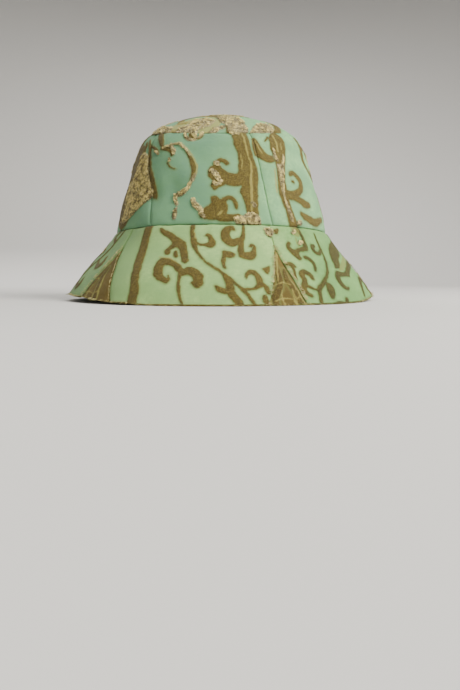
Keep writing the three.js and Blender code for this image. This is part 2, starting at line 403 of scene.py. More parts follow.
BRIM_CHART = Chart({
    Yarn.VELVET: (
        # Upright band
        Stroke(((-69.5, 74, 5), (-68, 60, 4.5), (-66, 50, 4.4), (-64, 40, 4.0), (-61.5, 30, 3.6),
                (-59, 20, 3.2), (-56.5, 10, 3.5), (-55.5, -2, 3.7))),
        # Leaf with a side lobe and a seed
        Stroke(((-54.5, 68, 1.2), (-50, 64.6, 2.4), (-45, 62, 2.6), (-40, 59, 3.0), (-35.5, 54.4, 4.0),
                (-31, 52, 3.8), (-28, 47, 2.9), (-26.3, 42, 2.7), (-25, 38.2, 2.6))),
        Stroke(((-37, 52, 2.2), (-40, 49.5, 2.2), (-42, 46.6, 2.5), (-40.6, 45, 2.1))),
        Stroke(((-34.6, 46, 1.3), (-33.9, 43.4, 2.1), (-32.6, 41.6, 1.2))),
        # Twin curls on one stem
        Stroke(((-26, 28, 2.4), (-29, 31.5, 2.4), (-33, 35, 2.6), (-38, 36.5, 2.9), (-43, 36.4, 3.6),
                (-43.7, 32, 3.8), (-43, 27.5, 3.5), (-41, 24, 3.0), (-38, 22, 2.5), (-35.6, 20.2, 2.0),
                (-33.9, 22, 1.0), (-34.4, 25.5, 0.5))),
        Stroke(((-26, 27, 2.4), (-22, 28.6, 3.4), (-18, 28, 3.6), (-14.6, 25, 3.8), (-13.3, 21, 3.2),
                (-13.4, 17.6, 2.9), (-16.2, 18.6, 1.5))),
        Stroke(((-26.5, 28, 2.2), (-26.3, 22, 1.4), (-26.2, 17, 1.3), (-25, 12, 1.1), (-23.5, 7, 0.9),
                (-21.5, -1, 0.7))),
        # Long stem across the front, with its first curl
        Stroke(((-24.6, 74, 2.2), (-24.2, 66, 2.0), (-22.9, 60, 2.2), (-21.2, 55, 2.6),
                (-19.6, 50, 1.8), (-17, 46, 1.2), (-14, 41.5, 1.0), (-10, 37, 0.95), (-5, 33, 0.9),
                (0, 29.5, 1.0), (5, 25, 1.4), (8, 21.7, 1.2), (12, 17.6, 1.05), (15.5, 14, 1.3),
                (18, 10, 1.2), (20.5, 5, 1.1), (22.5, -2, 1.1))),
        Stroke(((-20.5, 54.5, 1.6), (-16, 52.6, 1.0), (-12, 51.8, 1.2), (-8, 52, 2.5), (-5.8, 53, 2.8),
                (-6.8, 57, 2.1), (-8.5, 60.4, 1.8), (-10.4, 61.6, 1.4), (-11.6, 60.4, 0.8))),
        # Hooked scroll and its tail
        Stroke(((13, 66, 1.2), (11.5, 68.2, 1.8), (8.5, 67.5, 2.7), (5.5, 64.5, 3.6), (5, 60, 3.9),
                (7, 56.5, 3.7), (10.5, 54, 3.7), (14.5, 55, 3.1), (18, 56.5, 2.4))),
        Stroke(((22, 74, 1.2), (21.6, 66, 1.2), (20.3, 60, 1.8), (18.3, 55, 2.2), (17.6, 50, 2.1),
                (17.2, 46, 2.7))),
        Stroke(((17.3, 43.6, 2.8), (20.5, 42, 3.2), (24.2, 41.8, 3.6), (26.8, 44.2, 2.5),
                (28.2, 48, 1.7), (28.3, 51, 1.3), (26.6, 52, 1.1), (25.2, 50.8, 1.2))),
        # Bird-foot leaf
        Stroke(((4, 45.8, 1.6), (7, 43.3, 2.9), (10.5, 42.8, 2.0))),
        Stroke(((4.2, 44, 1.9), (3.4, 39, 1.6), (3.2, 35.5, 1.3), (4.3, 31.6, 0.9))),
        # Thick leaf down to the hem
        Stroke(((4, 25.5, 1.6), (6, 21, 2.1), (7.2, 16, 2.7), (8, 11.5, 2.8), (10, 7, 2.6),
                (12.3, 3, 2.6), (13, -3, 2.4))),
        Stroke(((-1.5, 16, 0.9), (0.5, 13.5, 2.0), (4, 12, 2.0), (6.5, 12.5, 2.0))),
        # Crook beside the godet
        Stroke(((18.3, 23, 0.7), (19.8, 26.5, 1.5), (23.3, 28, 2.0), (26.4, 25, 2.2), (27.4, 20.5, 2.4),
                (26.6, 17, 2.0), (24, 14.8, 1.3), (20.5, 13.6, 1.0), (16.3, 13.8, 0.9))),
        Stroke(((28.5, 18, 1.5), (31, 15, 1.7), (32, 11, 1.5))),
        Patch(((30.6, 30.5), (34, 32), (38, 33), (36.5, 29), (35, 26), (33, 26.5))),
        Stroke(((29, 7, 1.9), (29, 4.6, 2.4), (30, 2.5, 1.5))),
        # Sprig under the seam
        Stroke(((52.5, 65.5, 2.4), (55, 67.5, 1.6))),
        # Right of the godet: forked leaves
        Stroke(((63, 55, 1.5), (60.8, 52.5, 1.9), (61.5, 48.5, 2.5), (64.5, 45, 3.1), (66, 41.5, 2.6))),
        Stroke(((66, 46, 2.4), (70, 48.6, 1.8), (75, 49.4, 2.2), (79.5, 51, 2.7), (82, 57, 2.3),
                (82.4, 63, 2.2), (80.5, 68, 2.6), (77, 74, 3.0))),
        Stroke(((94, 54, 1.3), (90.6, 53, 2.1), (89, 50, 2.4), (90.6, 46.6, 2.2), (94, 46, 1.7),
                (99, 48.6, 1.4), (103, 51, 1.1))),
        Stroke(((105, 66, 1.3), (103, 56, 1.5), (101, 48, 1.2), (98, 41, 1.1), (93, 34, 1.1),
                (87, 27, 1.3), (80, 20, 1.7), (74, 15.5, 1.7), (70.5, 12, 1.7), (69, 5, 1.4),
                (68.5, -3, 1.3))),
        Stroke(((72.5, 41.5, 1.7), (76, 40.4, 2.2), (78.3, 37, 1.9), (78.2, 33, 1.5), (76, 29.5, 0.8))),
        Stroke(((53, 35, 1.7), (56, 34.6, 2.0), (58.4, 33, 1.2))),
        Stroke(((56, 34, 1.5), (56, 29, 1.1), (55.3, 25, 1.2), (55.5, 22, 0.8))),
        Stroke(((69.6, 22.6, 1.5), (68.4, 26, 2.2), (64.5, 28.3, 2.3), (61.6, 26, 2.7), (61.4, 21, 2.1),
                (60, 17, 2.6), (58.2, 13.5, 2.4), (59.5, 10, 1.7), (62.5, 8, 1.5))),
        Stroke(((62, 16, 1.5), (66, 13.5, 1.1), (69, 12.5, 1.0))),
        Stroke(((82.2, 16, 3.0), (82, 11.5, 3.7), (80.5, 7, 2.4))),
        Stroke(((96, 4, 1.8), (94, 0.5, 1.8))),
        Stroke(((84, 1, 1.8), (90, 0.5, 1.6))),
        # Broad scrolls towards the right side
        Stroke(((120, 25, 1.6), (108, 26.5, 2.4), (101, 26.5, 2.8), (97, 22, 3.0), (98.5, 17, 2.8),
                (102, 13.5, 1.9), (106, 14, 1.1))),
        Patch(((103, 32), (110, 32), (116, 35), (124, 41), (134, 44), (144, 48), (152, 55), (155, 63),
               (147, 62), (138, 59), (128, 57), (117, 51), (110, 43))),
        Stroke(((160, 72, 1.6), (164, 62, 2.4), (161, 53, 3.0), (166, 46, 2.2))),
        Stroke(((112, 26, 2.0), (122, 28, 2.4), (135, 32, 2.8), (150, 36, 3.0), (165, 38, 2.0))),
        Stroke(((128, 4, 1.4), (134, 12, 2.0), (143, 18, 2.6), (152, 19, 2.4), (157, 13, 1.6),
                (152, 8, 1.0))),
        # Raw edge of the hem
        Stroke(((-200, -0.5, 1.1), (-80, -0.5, 1.0), (0, -0.5, 1.1), (80, -0.5, 1.0),
                (180, -0.5, 1.1))),
        # Scrolls beyond the left godet
        Stroke(((-112, 74, 1.8), (-116, 62, 1.8), (-122, 50, 1.5), (-131, 40, 1.3), (-140, 30, 1.3),
                (-148, 18, 1.4), (-152, 8, 1.5), (-153, -3, 1.5))),
        Stroke(((-118, 58, 1.6), (-124, 60, 2.2), (-129, 64, 2.6), (-127, 69, 2.2), (-122, 69, 1.4))),
        Stroke(((-131, 40, 1.4), (-126, 34, 2.2), (-120, 31, 3.0), (-115, 34, 2.8), (-115, 40, 2.0))),
        Stroke(((-140, 30, 1.4), (-147, 34, 2.4), (-152, 40, 3.0), (-149, 46, 2.6), (-143, 45, 1.6))),
        Stroke(((-148, 18, 1.4), (-142, 12, 2.2), (-136, 9, 3.0), (-131, 13, 2.6), (-132, 18, 1.6))),
        Stroke(((-165, 74, 2.0), (-168, 62, 2.4), (-164, 52, 3.4), (-158, 50, 3.4), (-155, 55, 2.4),
                (-158, 60, 1.6))),
        Stroke(((-168, 62, 2.2), (-176, 56, 3.0), (-182, 58, 2.6), (-182, 64, 1.6))),
        Stroke(((-176, 40, 2.2), (-170, 36, 3.2), (-164, 30, 3.4), (-163, 22, 2.8), (-168, 18, 2.0),
                (-172, 21, 1.4))),
        Stroke(((-176, 40, 2.2), (-184, 37, 3.2), (-189, 30, 3.2), (-187, 23, 2.2), (-183, 22, 1.4))),
        Stroke(((-176, 38, 1.6), (-177, 26, 1.2), (-174, 12, 1.1), (-176, -3, 1.0))),
        Stroke(((-192, 74, 2.4), (-196, 60, 3.0), (-192, 48, 2.4))),
    ),
    Yarn.LOOPS: (
        Patch(((40.5, 67.5), (44, 69.5), (49, 68.5), (50.5, 65.5), (48, 61.5), (45, 59.5), (41.5, 62))),
        Stroke(((71, 65.5, 1.6), (74.5, 66.5, 1.5))),
        Stroke(((74, 55, 1.6), (77, 56.4, 1.8))),
        Stroke(((-139, 51, 1.6), (-136, 48, 1.8))),
    ),
    Yarn.PALE: (
        Stroke(((-47, 41, 0.5), (-38, 39.6, 0.6), (-30, 36, 0.5))),
        Stroke(((-23, 66, 0.5), (-20, 58, 0.5))),
        Patch(((106, 30), (114, 30), (124, 32), (136, 36), (150, 40), (160, 42), (156, 47), (146, 44),
               (134, 41), (122, 37), (113, 34))),
        Patch(((72, 74), (71, 67), (73, 62.6), (77, 61.6), (80, 64), (80, 74))),
        Stroke(((71, 51, 0.5), (72.5, 57, 0.8), (73.4, 61, 0.6))),
    ),
})

CROWN_CHART = Chart({
    Yarn.VELVET: (
        # Hooked line at the left of the front
        Stroke(((-31, 62.5, 0.8), (-28, 58.5, 1.3), (-25.2, 54, 1.9), (-23, 49, 2.1), (-21.6, 44, 2.1),
                (-21.6, 39.5, 1.8), (-23, 35, 1.2))),
        # Trunk
        Patch(((11.5, 93), (11.8, 80), (12.3, 71), (14.2, 66), (16, 60), (16.4, 52), (15.6, 45),
               (14, 38), (15, 33), (17.5, 29.8), (16.2, 27), (14.8, 25), (16.8, 21.5), (18.6, 17),
               (19.6, 12), (20.2, 7), (29, 7), (29.8, 18), (30.5, 30), (32.2, 38), (32.6, 44), (31, 52),
               (29.8, 60), (28.6, 68), (27.5, 78), (27, 93))),
        # Upper arm, curling over
        Stroke(((17, 35.5, 5.4), (11, 35.3, 5.7), (6, 36.8, 5.3), (2, 40, 4.3), (-1, 44.5, 3.3),
                (-3, 49, 2.5), (-1, 52.6, 2.1), (2.5, 53.2, 2.1), (5.8, 50.6, 2.0))),
        Patch(((-9.6, 44), (-9.4, 38.5), (-6, 34), (-7.4, 30), (-4.4, 26), (-1, 28), (2.4, 30), (7, 33),
               (6, 39), (1.4, 44), (-1, 48), (-5, 48.6), (-8, 47.4))),
        # Lower arm
        Patch(((-6.3, 21.2), (-2.5, 21), (0.5, 18.8), (4, 19), (5.5, 15), (6, 10), (5, 6), (2, 3.5),
               (-4, 3), (-10, 3.5), (-14, 5), (-15, 9), (-12, 12), (-8, 14), (-6.3, 16))),
        Stroke(((0, 5.4, 3.0), (8, 4.6, 2.8), (14, 5.4, 2.2))),
        Stroke(((3.5, 18.6, 1.8), (7, 20, 1.5), (10.5, 18.5, 1.7), (12.3, 15, 1.7), (12.8, 12.4, 1.1))),
        # Upper left sprays
        Stroke(((-73, 90, 3.4), (-66.5, 82, 4.0), (-62, 76, 3.2), (-58, 70, 1.9))),
        Stroke(((-79, 72.5, 1.0), (-70, 68.5, 1.5), (-64, 65, 1.8), (-61, 62.6, 1.2))),
        Stroke(((-58, 67, 1.4), (-52, 66.4, 2.3), (-47, 64, 1.8), (-44, 59, 1.1))),
        Stroke(((-47, 51, 0.8), (-43.5, 47, 0.7), (-38, 45, 0.5))),
        # Dark edge of the patch at the left seam, partly the seam's dark velvet and partly painted shadow of
        # the seam fold, and the dark cloth beyond it
        Stroke(((-86, 80, 1.4), (-79, 69.5, 2.0), (-73, 59, 2.4), (-69, 51, 2.4))),
        Patch(((-84, 66), (-89, 73), (-100, 76), (-115, 70), (-121, 48), (-120, 22), (-114, 6),
               (-98, 0), (-88, 3), (-80, 12), (-80, 30), (-84, 46))),
        Patch(((-69, 52), (-67, 50), (-61, 42), (-56.5, 34), (-53.5, 26), (-52, 20.4), (-57, 21),
               (-63, 30), (-68, 40))),
        # Tufts at the tip seam
        Stroke(((-31, 92, 2.2), (-30, 84, 2.6), (-25, 80, 2.6), (-20, 83, 2.2), (-19, 92, 1.8))),
        # Right of the right seam: bracket and broad upright band
        Patch(((31, 80), (34, 82), (37, 76), (39, 70), (42, 64), (45, 60.5), (50, 59), (51, 52.5),
               (46, 51.5), (42, 52.5), (38, 54.5), (35, 57), (31.5, 60), (30.5, 66))),
        Patch(((50.5, 80), (54, 86), (62, 93), (70, 83), (72, 76), (70, 68), (67, 60), (64, 54),
               (61.5, 48), (59.5, 42), (58.5, 36), (59, 30), (58.5, 24), (59, 19), (60, 12), (62, 6),
               (64, -2), (55, -2), (53.5, 6), (53, 12), (51.5, 18), (49.7, 24), (49.7, 30), (50.5, 38),
               (51, 46), (51, 56), (50, 66), (50.5, 74))),
        Stroke(((66, 42.4, 2.0), (69, 43.6, 2.2), (73, 42, 2.5), (77, 38.5, 3.0), (78, 34, 2.9),
                (75.5, 30, 2.7), (71, 27, 2.7), (65, 25.5, 2.5), (59, 25.5, 2.6))),
        Stroke(((66, 36, 0.9), (68.5, 35.5, 1.1))),
        Stroke(((60, 22.5, 2.0), (66, 22.6, 2.6), (72, 20.5, 2.9), (78, 18, 2.9), (84, 18, 2.0))),
        Stroke(((70, 10, 1.9), (74, 8, 2.7), (80, 6.5, 3.1), (88, 5, 3.1), (98, 7, 2.5),
                (108, 9, 1.8))),
        Stroke(((50, 82, 1.1), (47.5, 78.5, 1.1), (45, 76, 0.8))),
        Stroke(((100, 84, 2.6), (104, 70, 3.2), (100, 58, 3.0), (106, 46, 2.6), (114, 42, 2.4),
                (117, 48, 1.8), (112, 51, 1.0))),
        Stroke(((104, 70, 2.2), (112, 74, 2.6), (119, 70, 2.2), (117, 64, 1.2))),
        Stroke(((120, 30, 2.4), (124, 18, 2.6), (130, 10, 2.0), (136, 12, 1.2))),
        # Beyond the left patch
        Stroke(((-100, 90, 2.4), (-103, 78, 3.4), (-99, 69, 3.6), (-91, 67, 3.0), (-87, 72, 2.0),
                (-91, 77, 1.2))),
        Stroke(((-103, 78, 2.6), (-110, 72, 3.0), (-116, 74, 2.4), (-116, 80, 1.4))),
        Stroke(((-129, 93, 5.0), (-127, 78, 5.6), (-130, 63, 5.0), (-127, 48, 5.8), (-130, 32, 5.0),
                (-128, 15, 4.4), (-131, -3, 4.2))),
        Stroke(((-127, 50, 4.0), (-120, 47, 3.8), (-116, 52, 3.0), (-117, 58, 2.4), (-121, 60, 1.6))),
        Stroke(((-130, 26, 3.6), (-137, 21, 3.2), (-141, 26, 2.6), (-139, 32, 1.8))),
        Stroke(((-149, 84, 2.2), (-153, 72, 3.0), (-148, 62, 3.2), (-142, 64, 2.4), (-143, 70, 1.4))),
    ),
    Yarn.LOOPS: (
        # Both ends of the hooked line
        Stroke(((-56, 66.5, 0.9), (-51, 69.6, 1.2), (-46, 71.4, 1.2), (-41, 72, 1.4), (-36.5, 70, 1.4),
                (-33, 66.4, 1.3), (-30.6, 62.8, 1.1), (-27.2, 58.6, 0.7))),
        Stroke(((-20.6, 39, 1.3), (-22.5, 34.5, 1.4), (-25, 29.5, 1.7), (-28, 25.8, 1.9),
                (-32, 23.5, 2.0), (-35.5, 22.5, 1.5), (-34.8, 19, 1.6), (-32.8, 15.5, 1.3))),
        Stroke(((-33.2, 12, 1.2), (-33.6, 8, 1.8), (-33.2, 4.5, 1.3))),
        Stroke(((-50, 68.8, 1.0), (-46, 68, 1.6), (-43.5, 64, 2.1), (-42.8, 61, 1.8))),
        Stroke(((-46, 54.6, 1.3), (-45, 53.6, 1.7))),
        Stroke(((-66, 63.5, 1.0), (-62.5, 62.4, 1.7), (-60, 60.8, 1.3))),
        # Patch at the left seam
        Patch(((-90, 62), (-84, 65), (-76, 61), (-73, 56), (-70, 48), (-67, 41), (-62, 34), (-58, 28),
               (-58, 23), (-65, 18), (-73, 13), (-82, 8), (-92, 5), (-100, 5), (-99, 14), (-101, 24),
               (-101, 33), (-96, 39), (-91, 45), (-90, 53))),
        # Tufts at the tip seam
        Stroke(((-37, 88, 1.4), (-35.6, 83, 1.9), (-32.4, 79, 2.1), (-28, 77.6, 2.0), (-24, 79.4, 1.7),
                (-20.6, 83, 1.7), (-18.6, 88, 1.5))),
        Stroke(((-28.4, 86, 1.3), (-26, 83, 1.7), (-25.4, 88, 1.3))),
        Patch(((8, 93), (9.5, 86), (19, 85.5), (20.5, 93))),
        # On the upper arm
        Stroke(((-4.5, 51.8, 1.4), (-2.8, 50.2, 2.1), (-1, 48.8, 1.4))),
        Stroke(((-7, 43.5, 1.9), (-4.5, 41, 2.3), (-2.5, 38.5, 2.1), (-1, 36, 1.9), (1, 33.5, 1.2))),
        Stroke(((-6, 33.5, 0.9), (-3.5, 31.5, 1.4), (-0.5, 31.5, 1.1))),
        # Left of the lower arm
        Stroke(((-20.5, 18.5, 1.7), (-19, 15.5, 2.3), (-16.5, 12.8, 2.3), (-13.5, 10.5, 1.6),
                (-13, 7.5, 1.4), (-11, 5.5, 1.2))),
        # Foot of the trunk
        Patch(((9.5, 4.5), (13, 5.8), (17, 6), (21, 9.4), (26, 8), (29, 6), (30.5, -1), (12, -1))),
        Stroke(((24.6, 16.4, 1.1), (26.5, 14.2, 1.5))),
        # On the upright band
        Patch(((51.5, 50), (57, 51), (58.5, 46), (57, 38), (56, 30), (55.6, 22), (53.4, 20), (52.8, 28),
               (52, 38))),
        Stroke(((63.4, 60, 1.0), (61, 54, 1.6), (58.5, 49.5, 1.8))),
        Stroke(((53, 66, 1.2), (52.6, 60, 1.7), (53.4, 55, 1.8))),
        Stroke(((54.6, 19, 1.3), (56, 12, 1.5), (57.6, 5, 1.4))),
        Stroke(((63, 3, 1.4), (66.5, 3, 1.6))),
        Stroke(((-119, 49, 1.4), (-117.4, 54, 2.0), (-119, 58, 1.5))),
        Stroke(((-128, 90, 1.6), (-126.6, 78, 2.0), (-129, 66, 1.8), (-128, 56, 1.2))),
        Stroke(((-144, 66, 1.2), (-147, 63, 1.8), (-151, 68, 1.4))),
    ),
    Yarn.PALE: (
        Stroke(((-42, 71.4, 0.8), (-36, 71.4, 0.9), (-31, 66, 0.8), (-26, 60, 0.6), (-21.5, 52, 0.6),
                (-19, 46, 0.7), (-19, 40, 0.6))),
        Stroke(((21.6, 89, 0.7), (22.8, 80, 1.0), (23.6, 70, 1.0), (24.8, 61, 0.8), (25.8, 54, 0.5))),
        Stroke(((26.4, 56, 0.4), (27, 49, 0.9), (26.3, 41, 1.1), (25, 31, 1.1), (24.6, 20, 1.1),
                (23.8, 11, 0.8))),
        Stroke(((18.4, 60, 0.3), (19, 52, 0.6), (18.2, 45, 0.4))),
        Stroke(((-1.5, 6.6, 0.6), (0.5, 8, 0.9), (2, 9.4, 0.6))),
        Stroke(((34, 76, 0.6), (36, 68, 0.8), (39, 61, 0.6))),
        Stroke(((57, 84, 0.9), (58.5, 74, 1.2), (58, 64, 1.0))),
        Stroke(((64, 74, 0.5), (63, 66, 0.6))),
        Stroke(((49, 46, 0.6), (48.4, 36, 0.7), (48, 26, 0.6))),
    ),
})


TIP_CHART = Chart({
    Yarn.VELVET: (
        Stroke(((15, -72, 7.5), (12, -60, 7), (9, -50, 5.4), (3, -40, 4.6), (-8, -31, 4.4),
                (-22, -27, 4), (-33, -31, 3), (-36, -40, 2.2), (-30, -44, 1.4))),
        Stroke(((40, -58, 1.6), (49, -44, 2.6), (50, -30, 3.4), (42, -17, 4), (30, -11, 3.4),
                (22, -16, 2.4), (24, -24, 1.6))),
        Stroke(((-26, -64, 2), (-40, -54, 2.6), (-52, -42, 3), (-58, -28, 2.4))),
        Stroke(((-62, -12, 2), (-50, -6, 3), (-36, -8, 3.2), (-28, 0, 3), (-28, 12, 2.4),
                (-36, 18, 1.6))),
        Stroke(((-52, 40, 2), (-40, 34, 3), (-26, 36, 3.6), (-12, 32, 4), (4, 26, 3.6), (16, 16, 3),
                (24, 4, 2))),
        Stroke(((-10, 66, 5), (-4, 52, 5), (8, 44, 4.6), (22, 42, 4), (34, 46, 3), (38, 56, 2))),
        Stroke(((66, 10, 2.4), (54, 6, 3.2), (44, 12, 3.4), (40, 24, 3), (48, 32, 2.2), (56, 28, 1.4))),
    ),
    Yarn.LOOPS: (
        Patch(((-40, -58), (-34, -66), (-22, -66), (-18, -58), (-9, -56), (-4, -48), (-12, -40),
               (-22, -40), (-28, -48), (-36, -50))),
        Stroke(((-50, -50, 1.4), (-45, -54, 2.2), (-40, -56, 2.4), (-34, -58, 2.2))),
        Stroke(((-16, -66, 1.2), (-10, -64, 1.8), (-4, -60, 2.2), (2, -58, 2.0))),
        Patch(((-64, -28), (-60, -38), (-52, -47), (-43, -50), (-42, -44), (-48, -36), (-52, -28),
               (-58, -22))),
        Patch(((0, -52), (6, -58), (8, -68), (20, -68), (24, -58), (20, -46), (16, -36), (4, -33),
               (-4, -40))),
        Patch(((24, -64), (34, -64), (44, -54), (47, -40), (42, -32), (34, -40), (28, -50))),
        Patch(((-22, -22), (-8, -26), (6, -30), (20, -26), (22, -14), (18, 0), (8, 14), (-6, 18),
               (-20, 12), (-20, 0), (-26, -10))),
        Stroke(((-56, -22, 2.4), (-48, -18, 3), (-40, -18, 2))),
        Stroke(((-44, 26, 2), (-34, 24, 2.6), (-28, 26, 1.6))),
        Stroke(((14, 32, 1.6), (24, 32, 2.6), (34, 34, 1.8))),
        Stroke(((-24, 50, 2), (-18, 44, 2.4), (-14, 54, 2))),
        Stroke(((50, -8, 2), (56, -4, 2.6), (62, -6, 1.8))),
    ),
    Yarn.PALE: (
        Patch(((-52, -52), (-44, -60), (-34, -68), (-22, -70), (-12, -68), (-10, -62), (-2, -58),
               (2, -50), (-6, -40), (-20, -34), (-34, -38), (-46, -42))),
        Stroke(((12, -66, 0.9), (7, -52, 0.9), (-2, -41, 0.9), (-14, -33, 0.8))),
        Stroke(((46, -40, 0.7), (44, -26, 0.8), (34, -16, 0.7))),
        Stroke(((-46, -46, 0.6), (-52, -36, 0.8), (-54, -28, 0.6))),
    ),
})

GODET_CHART = Chart({
    Yarn.PALE: (
        Stroke(((-8.6, 33, 0.6), (-9.6, 28, 0.9), (-12.4, 19, 1.0), (-14.4, 10, 0.9), (-15.6, 1, 0.8))),
        Stroke(((-0.4, 46, 0.6), (-2.6, 37, 0.8), (-5.4, 28, 0.6), (-7, 20, 0.4))),
        Stroke(((1.1, 13, 0.6), (1.8, 6, 0.9), (1.6, -2, 0.9))),
        Stroke(((-12, 4, 0.4), (-6, 6.4, 0.6), (1, 5.4, 0.4), (7, 8, 0.5))),
        Stroke(((-10, 17, 0.4), (-4, 19, 0.5), (1, 17, 0.4))),
        Stroke(((3, 22, 0.3), (4.6, 14, 0.5), (7, 7, 0.6), (8.4, -1, 0.5))),
        Stroke(((-6, 13, 0.3), (-7, 7, 0.5), (-6.4, 0, 0.5))),
    ),
    Yarn.VELVET: (
        Stroke(((-4, 38, 1.2), (-5, 28, 2.4), (-6, 18, 2.2), (-11, 8, 2.4), (-12, -1, 2.0))),
        Stroke(((1, 30, 1.4), (0, 22, 2.0), (3, 12, 2.2), (5, 3, 2.4))),
    ),
})

FACING_NODES = (
    "brim_facing_front",
    "brim_facing_front_right",
    "brim_facing_back_right",
    "brim_facing_back",
    "brim_facing_back_left",
    "brim_facing_front_left",
)


@dataclass(frozen=True)
class Placing:
    """How a panel is cut from its chart: shift across and up, and a share of scale."""

    across: float = 0.0
    up: float = 0.0
    scale: float = 1.0

    def apply(self, x: Array, y: Array) -> tuple[Array, Array]:
        """Returns the chart places of points on the panel."""
        return x * self.scale + self.across, y * self.scale + self.up


# Finishes


class NodeWriter:
    """Adds nodes to a tree and joins them."""

    def __init__(self, tree: bpy.types.NodeTree) -> None:
        """Keeps the tree that nodes are added to."""
        self.tree = tree

    def add(
        self,
        kind: str,
        inputs: dict[str | int, object] | None = None,
        **settings: object,
    ) -> bpy.types.Node:
        """Adds one node.

        Args:
            kind: Blender's name of the node type.
            inputs: Values or output sockets by input name or number.
            **settings: Properties of the node.

        Returns:
            The new node.
        """
        node = self.tree.nodes.new(kind)
        for name, value in settings.items():
            setattr(node, name, value)
        for name, value in (inputs or {}).items():
            if isinstance(value, bpy.types.NodeSocket):
                self.tree.links.new(value, node.inputs[name])
            else:
                node.inputs[name].default_value = value
        return node

    def maths(
        self,
        operation: str,
        a: object,
        b: object = 0.0,
        clamp: bool = False,
        third: float = 0.0,
    ) -> bpy.types.NodeSocket:
        """Adds a maths node and returns its output."""
        inputs = {0: a, 1: b, 2: third}
        return self.add("ShaderNodeMath", inputs, operation=operation, use_clamp=clamp).outputs[0]

    def blend(self, share: object, a: object, b: object, mode: str = "MIX") -> bpy.types.NodeSocket:
        """Adds a colour mix.

        Args:
            share: Share of the second colour.
            a: First colour.
            b: Second colour.
            mode: Blender's name of the way they mix.

        Returns:
            The mixed colour's socket.
        """
        node = self.add("ShaderNodeMix", data_type="RGBA", blend_type=mode)
        for socket, value in ((node.inputs[0], share), (node.inputs[6], a), (node.inputs[7], b)):
            if isinstance(value, bpy.types.NodeSocket):
                self.tree.links.new(value, socket)
            else:
                socket.default_value = value
        return node.outputs[2]

    def ramp(self, value: object, low: float, high: float) -> bpy.types.NodeSocket:
        """Adds a smooth step from low to high and returns its value."""
        node = self.add("ShaderNodeMapRange", {0: value, 1: low, 2: high}, interpolation_type="SMOOTHSTEP")
        return node.outputs[0]

    def noise(
        self,
        vector: object,
        scale: float,
        detail: float = 2.0,
        rough: float = 0.5,
    ) -> bpy.types.NodeSocket:
        """Adds a noise texture and returns its value."""
        inputs = {"Vector": vector, "Scale": scale, "Detail": detail, "Roughness": rough}
        return self.add("ShaderNodeTexNoise", inputs).outputs[0]


def rgb(red: float, green: float, blue: float) -> tuple[float, float, float, float]:
    """Returns a linear colour for a screen colour of 0 to 255."""
    parts = [c / 255 / 12.92 if c <= 10.3 else ((c / 255 + 0.055) / 1.055) ** 2.4 for c in (red, green, blue)]
    return (parts[0], parts[1], parts[2], 1.0)


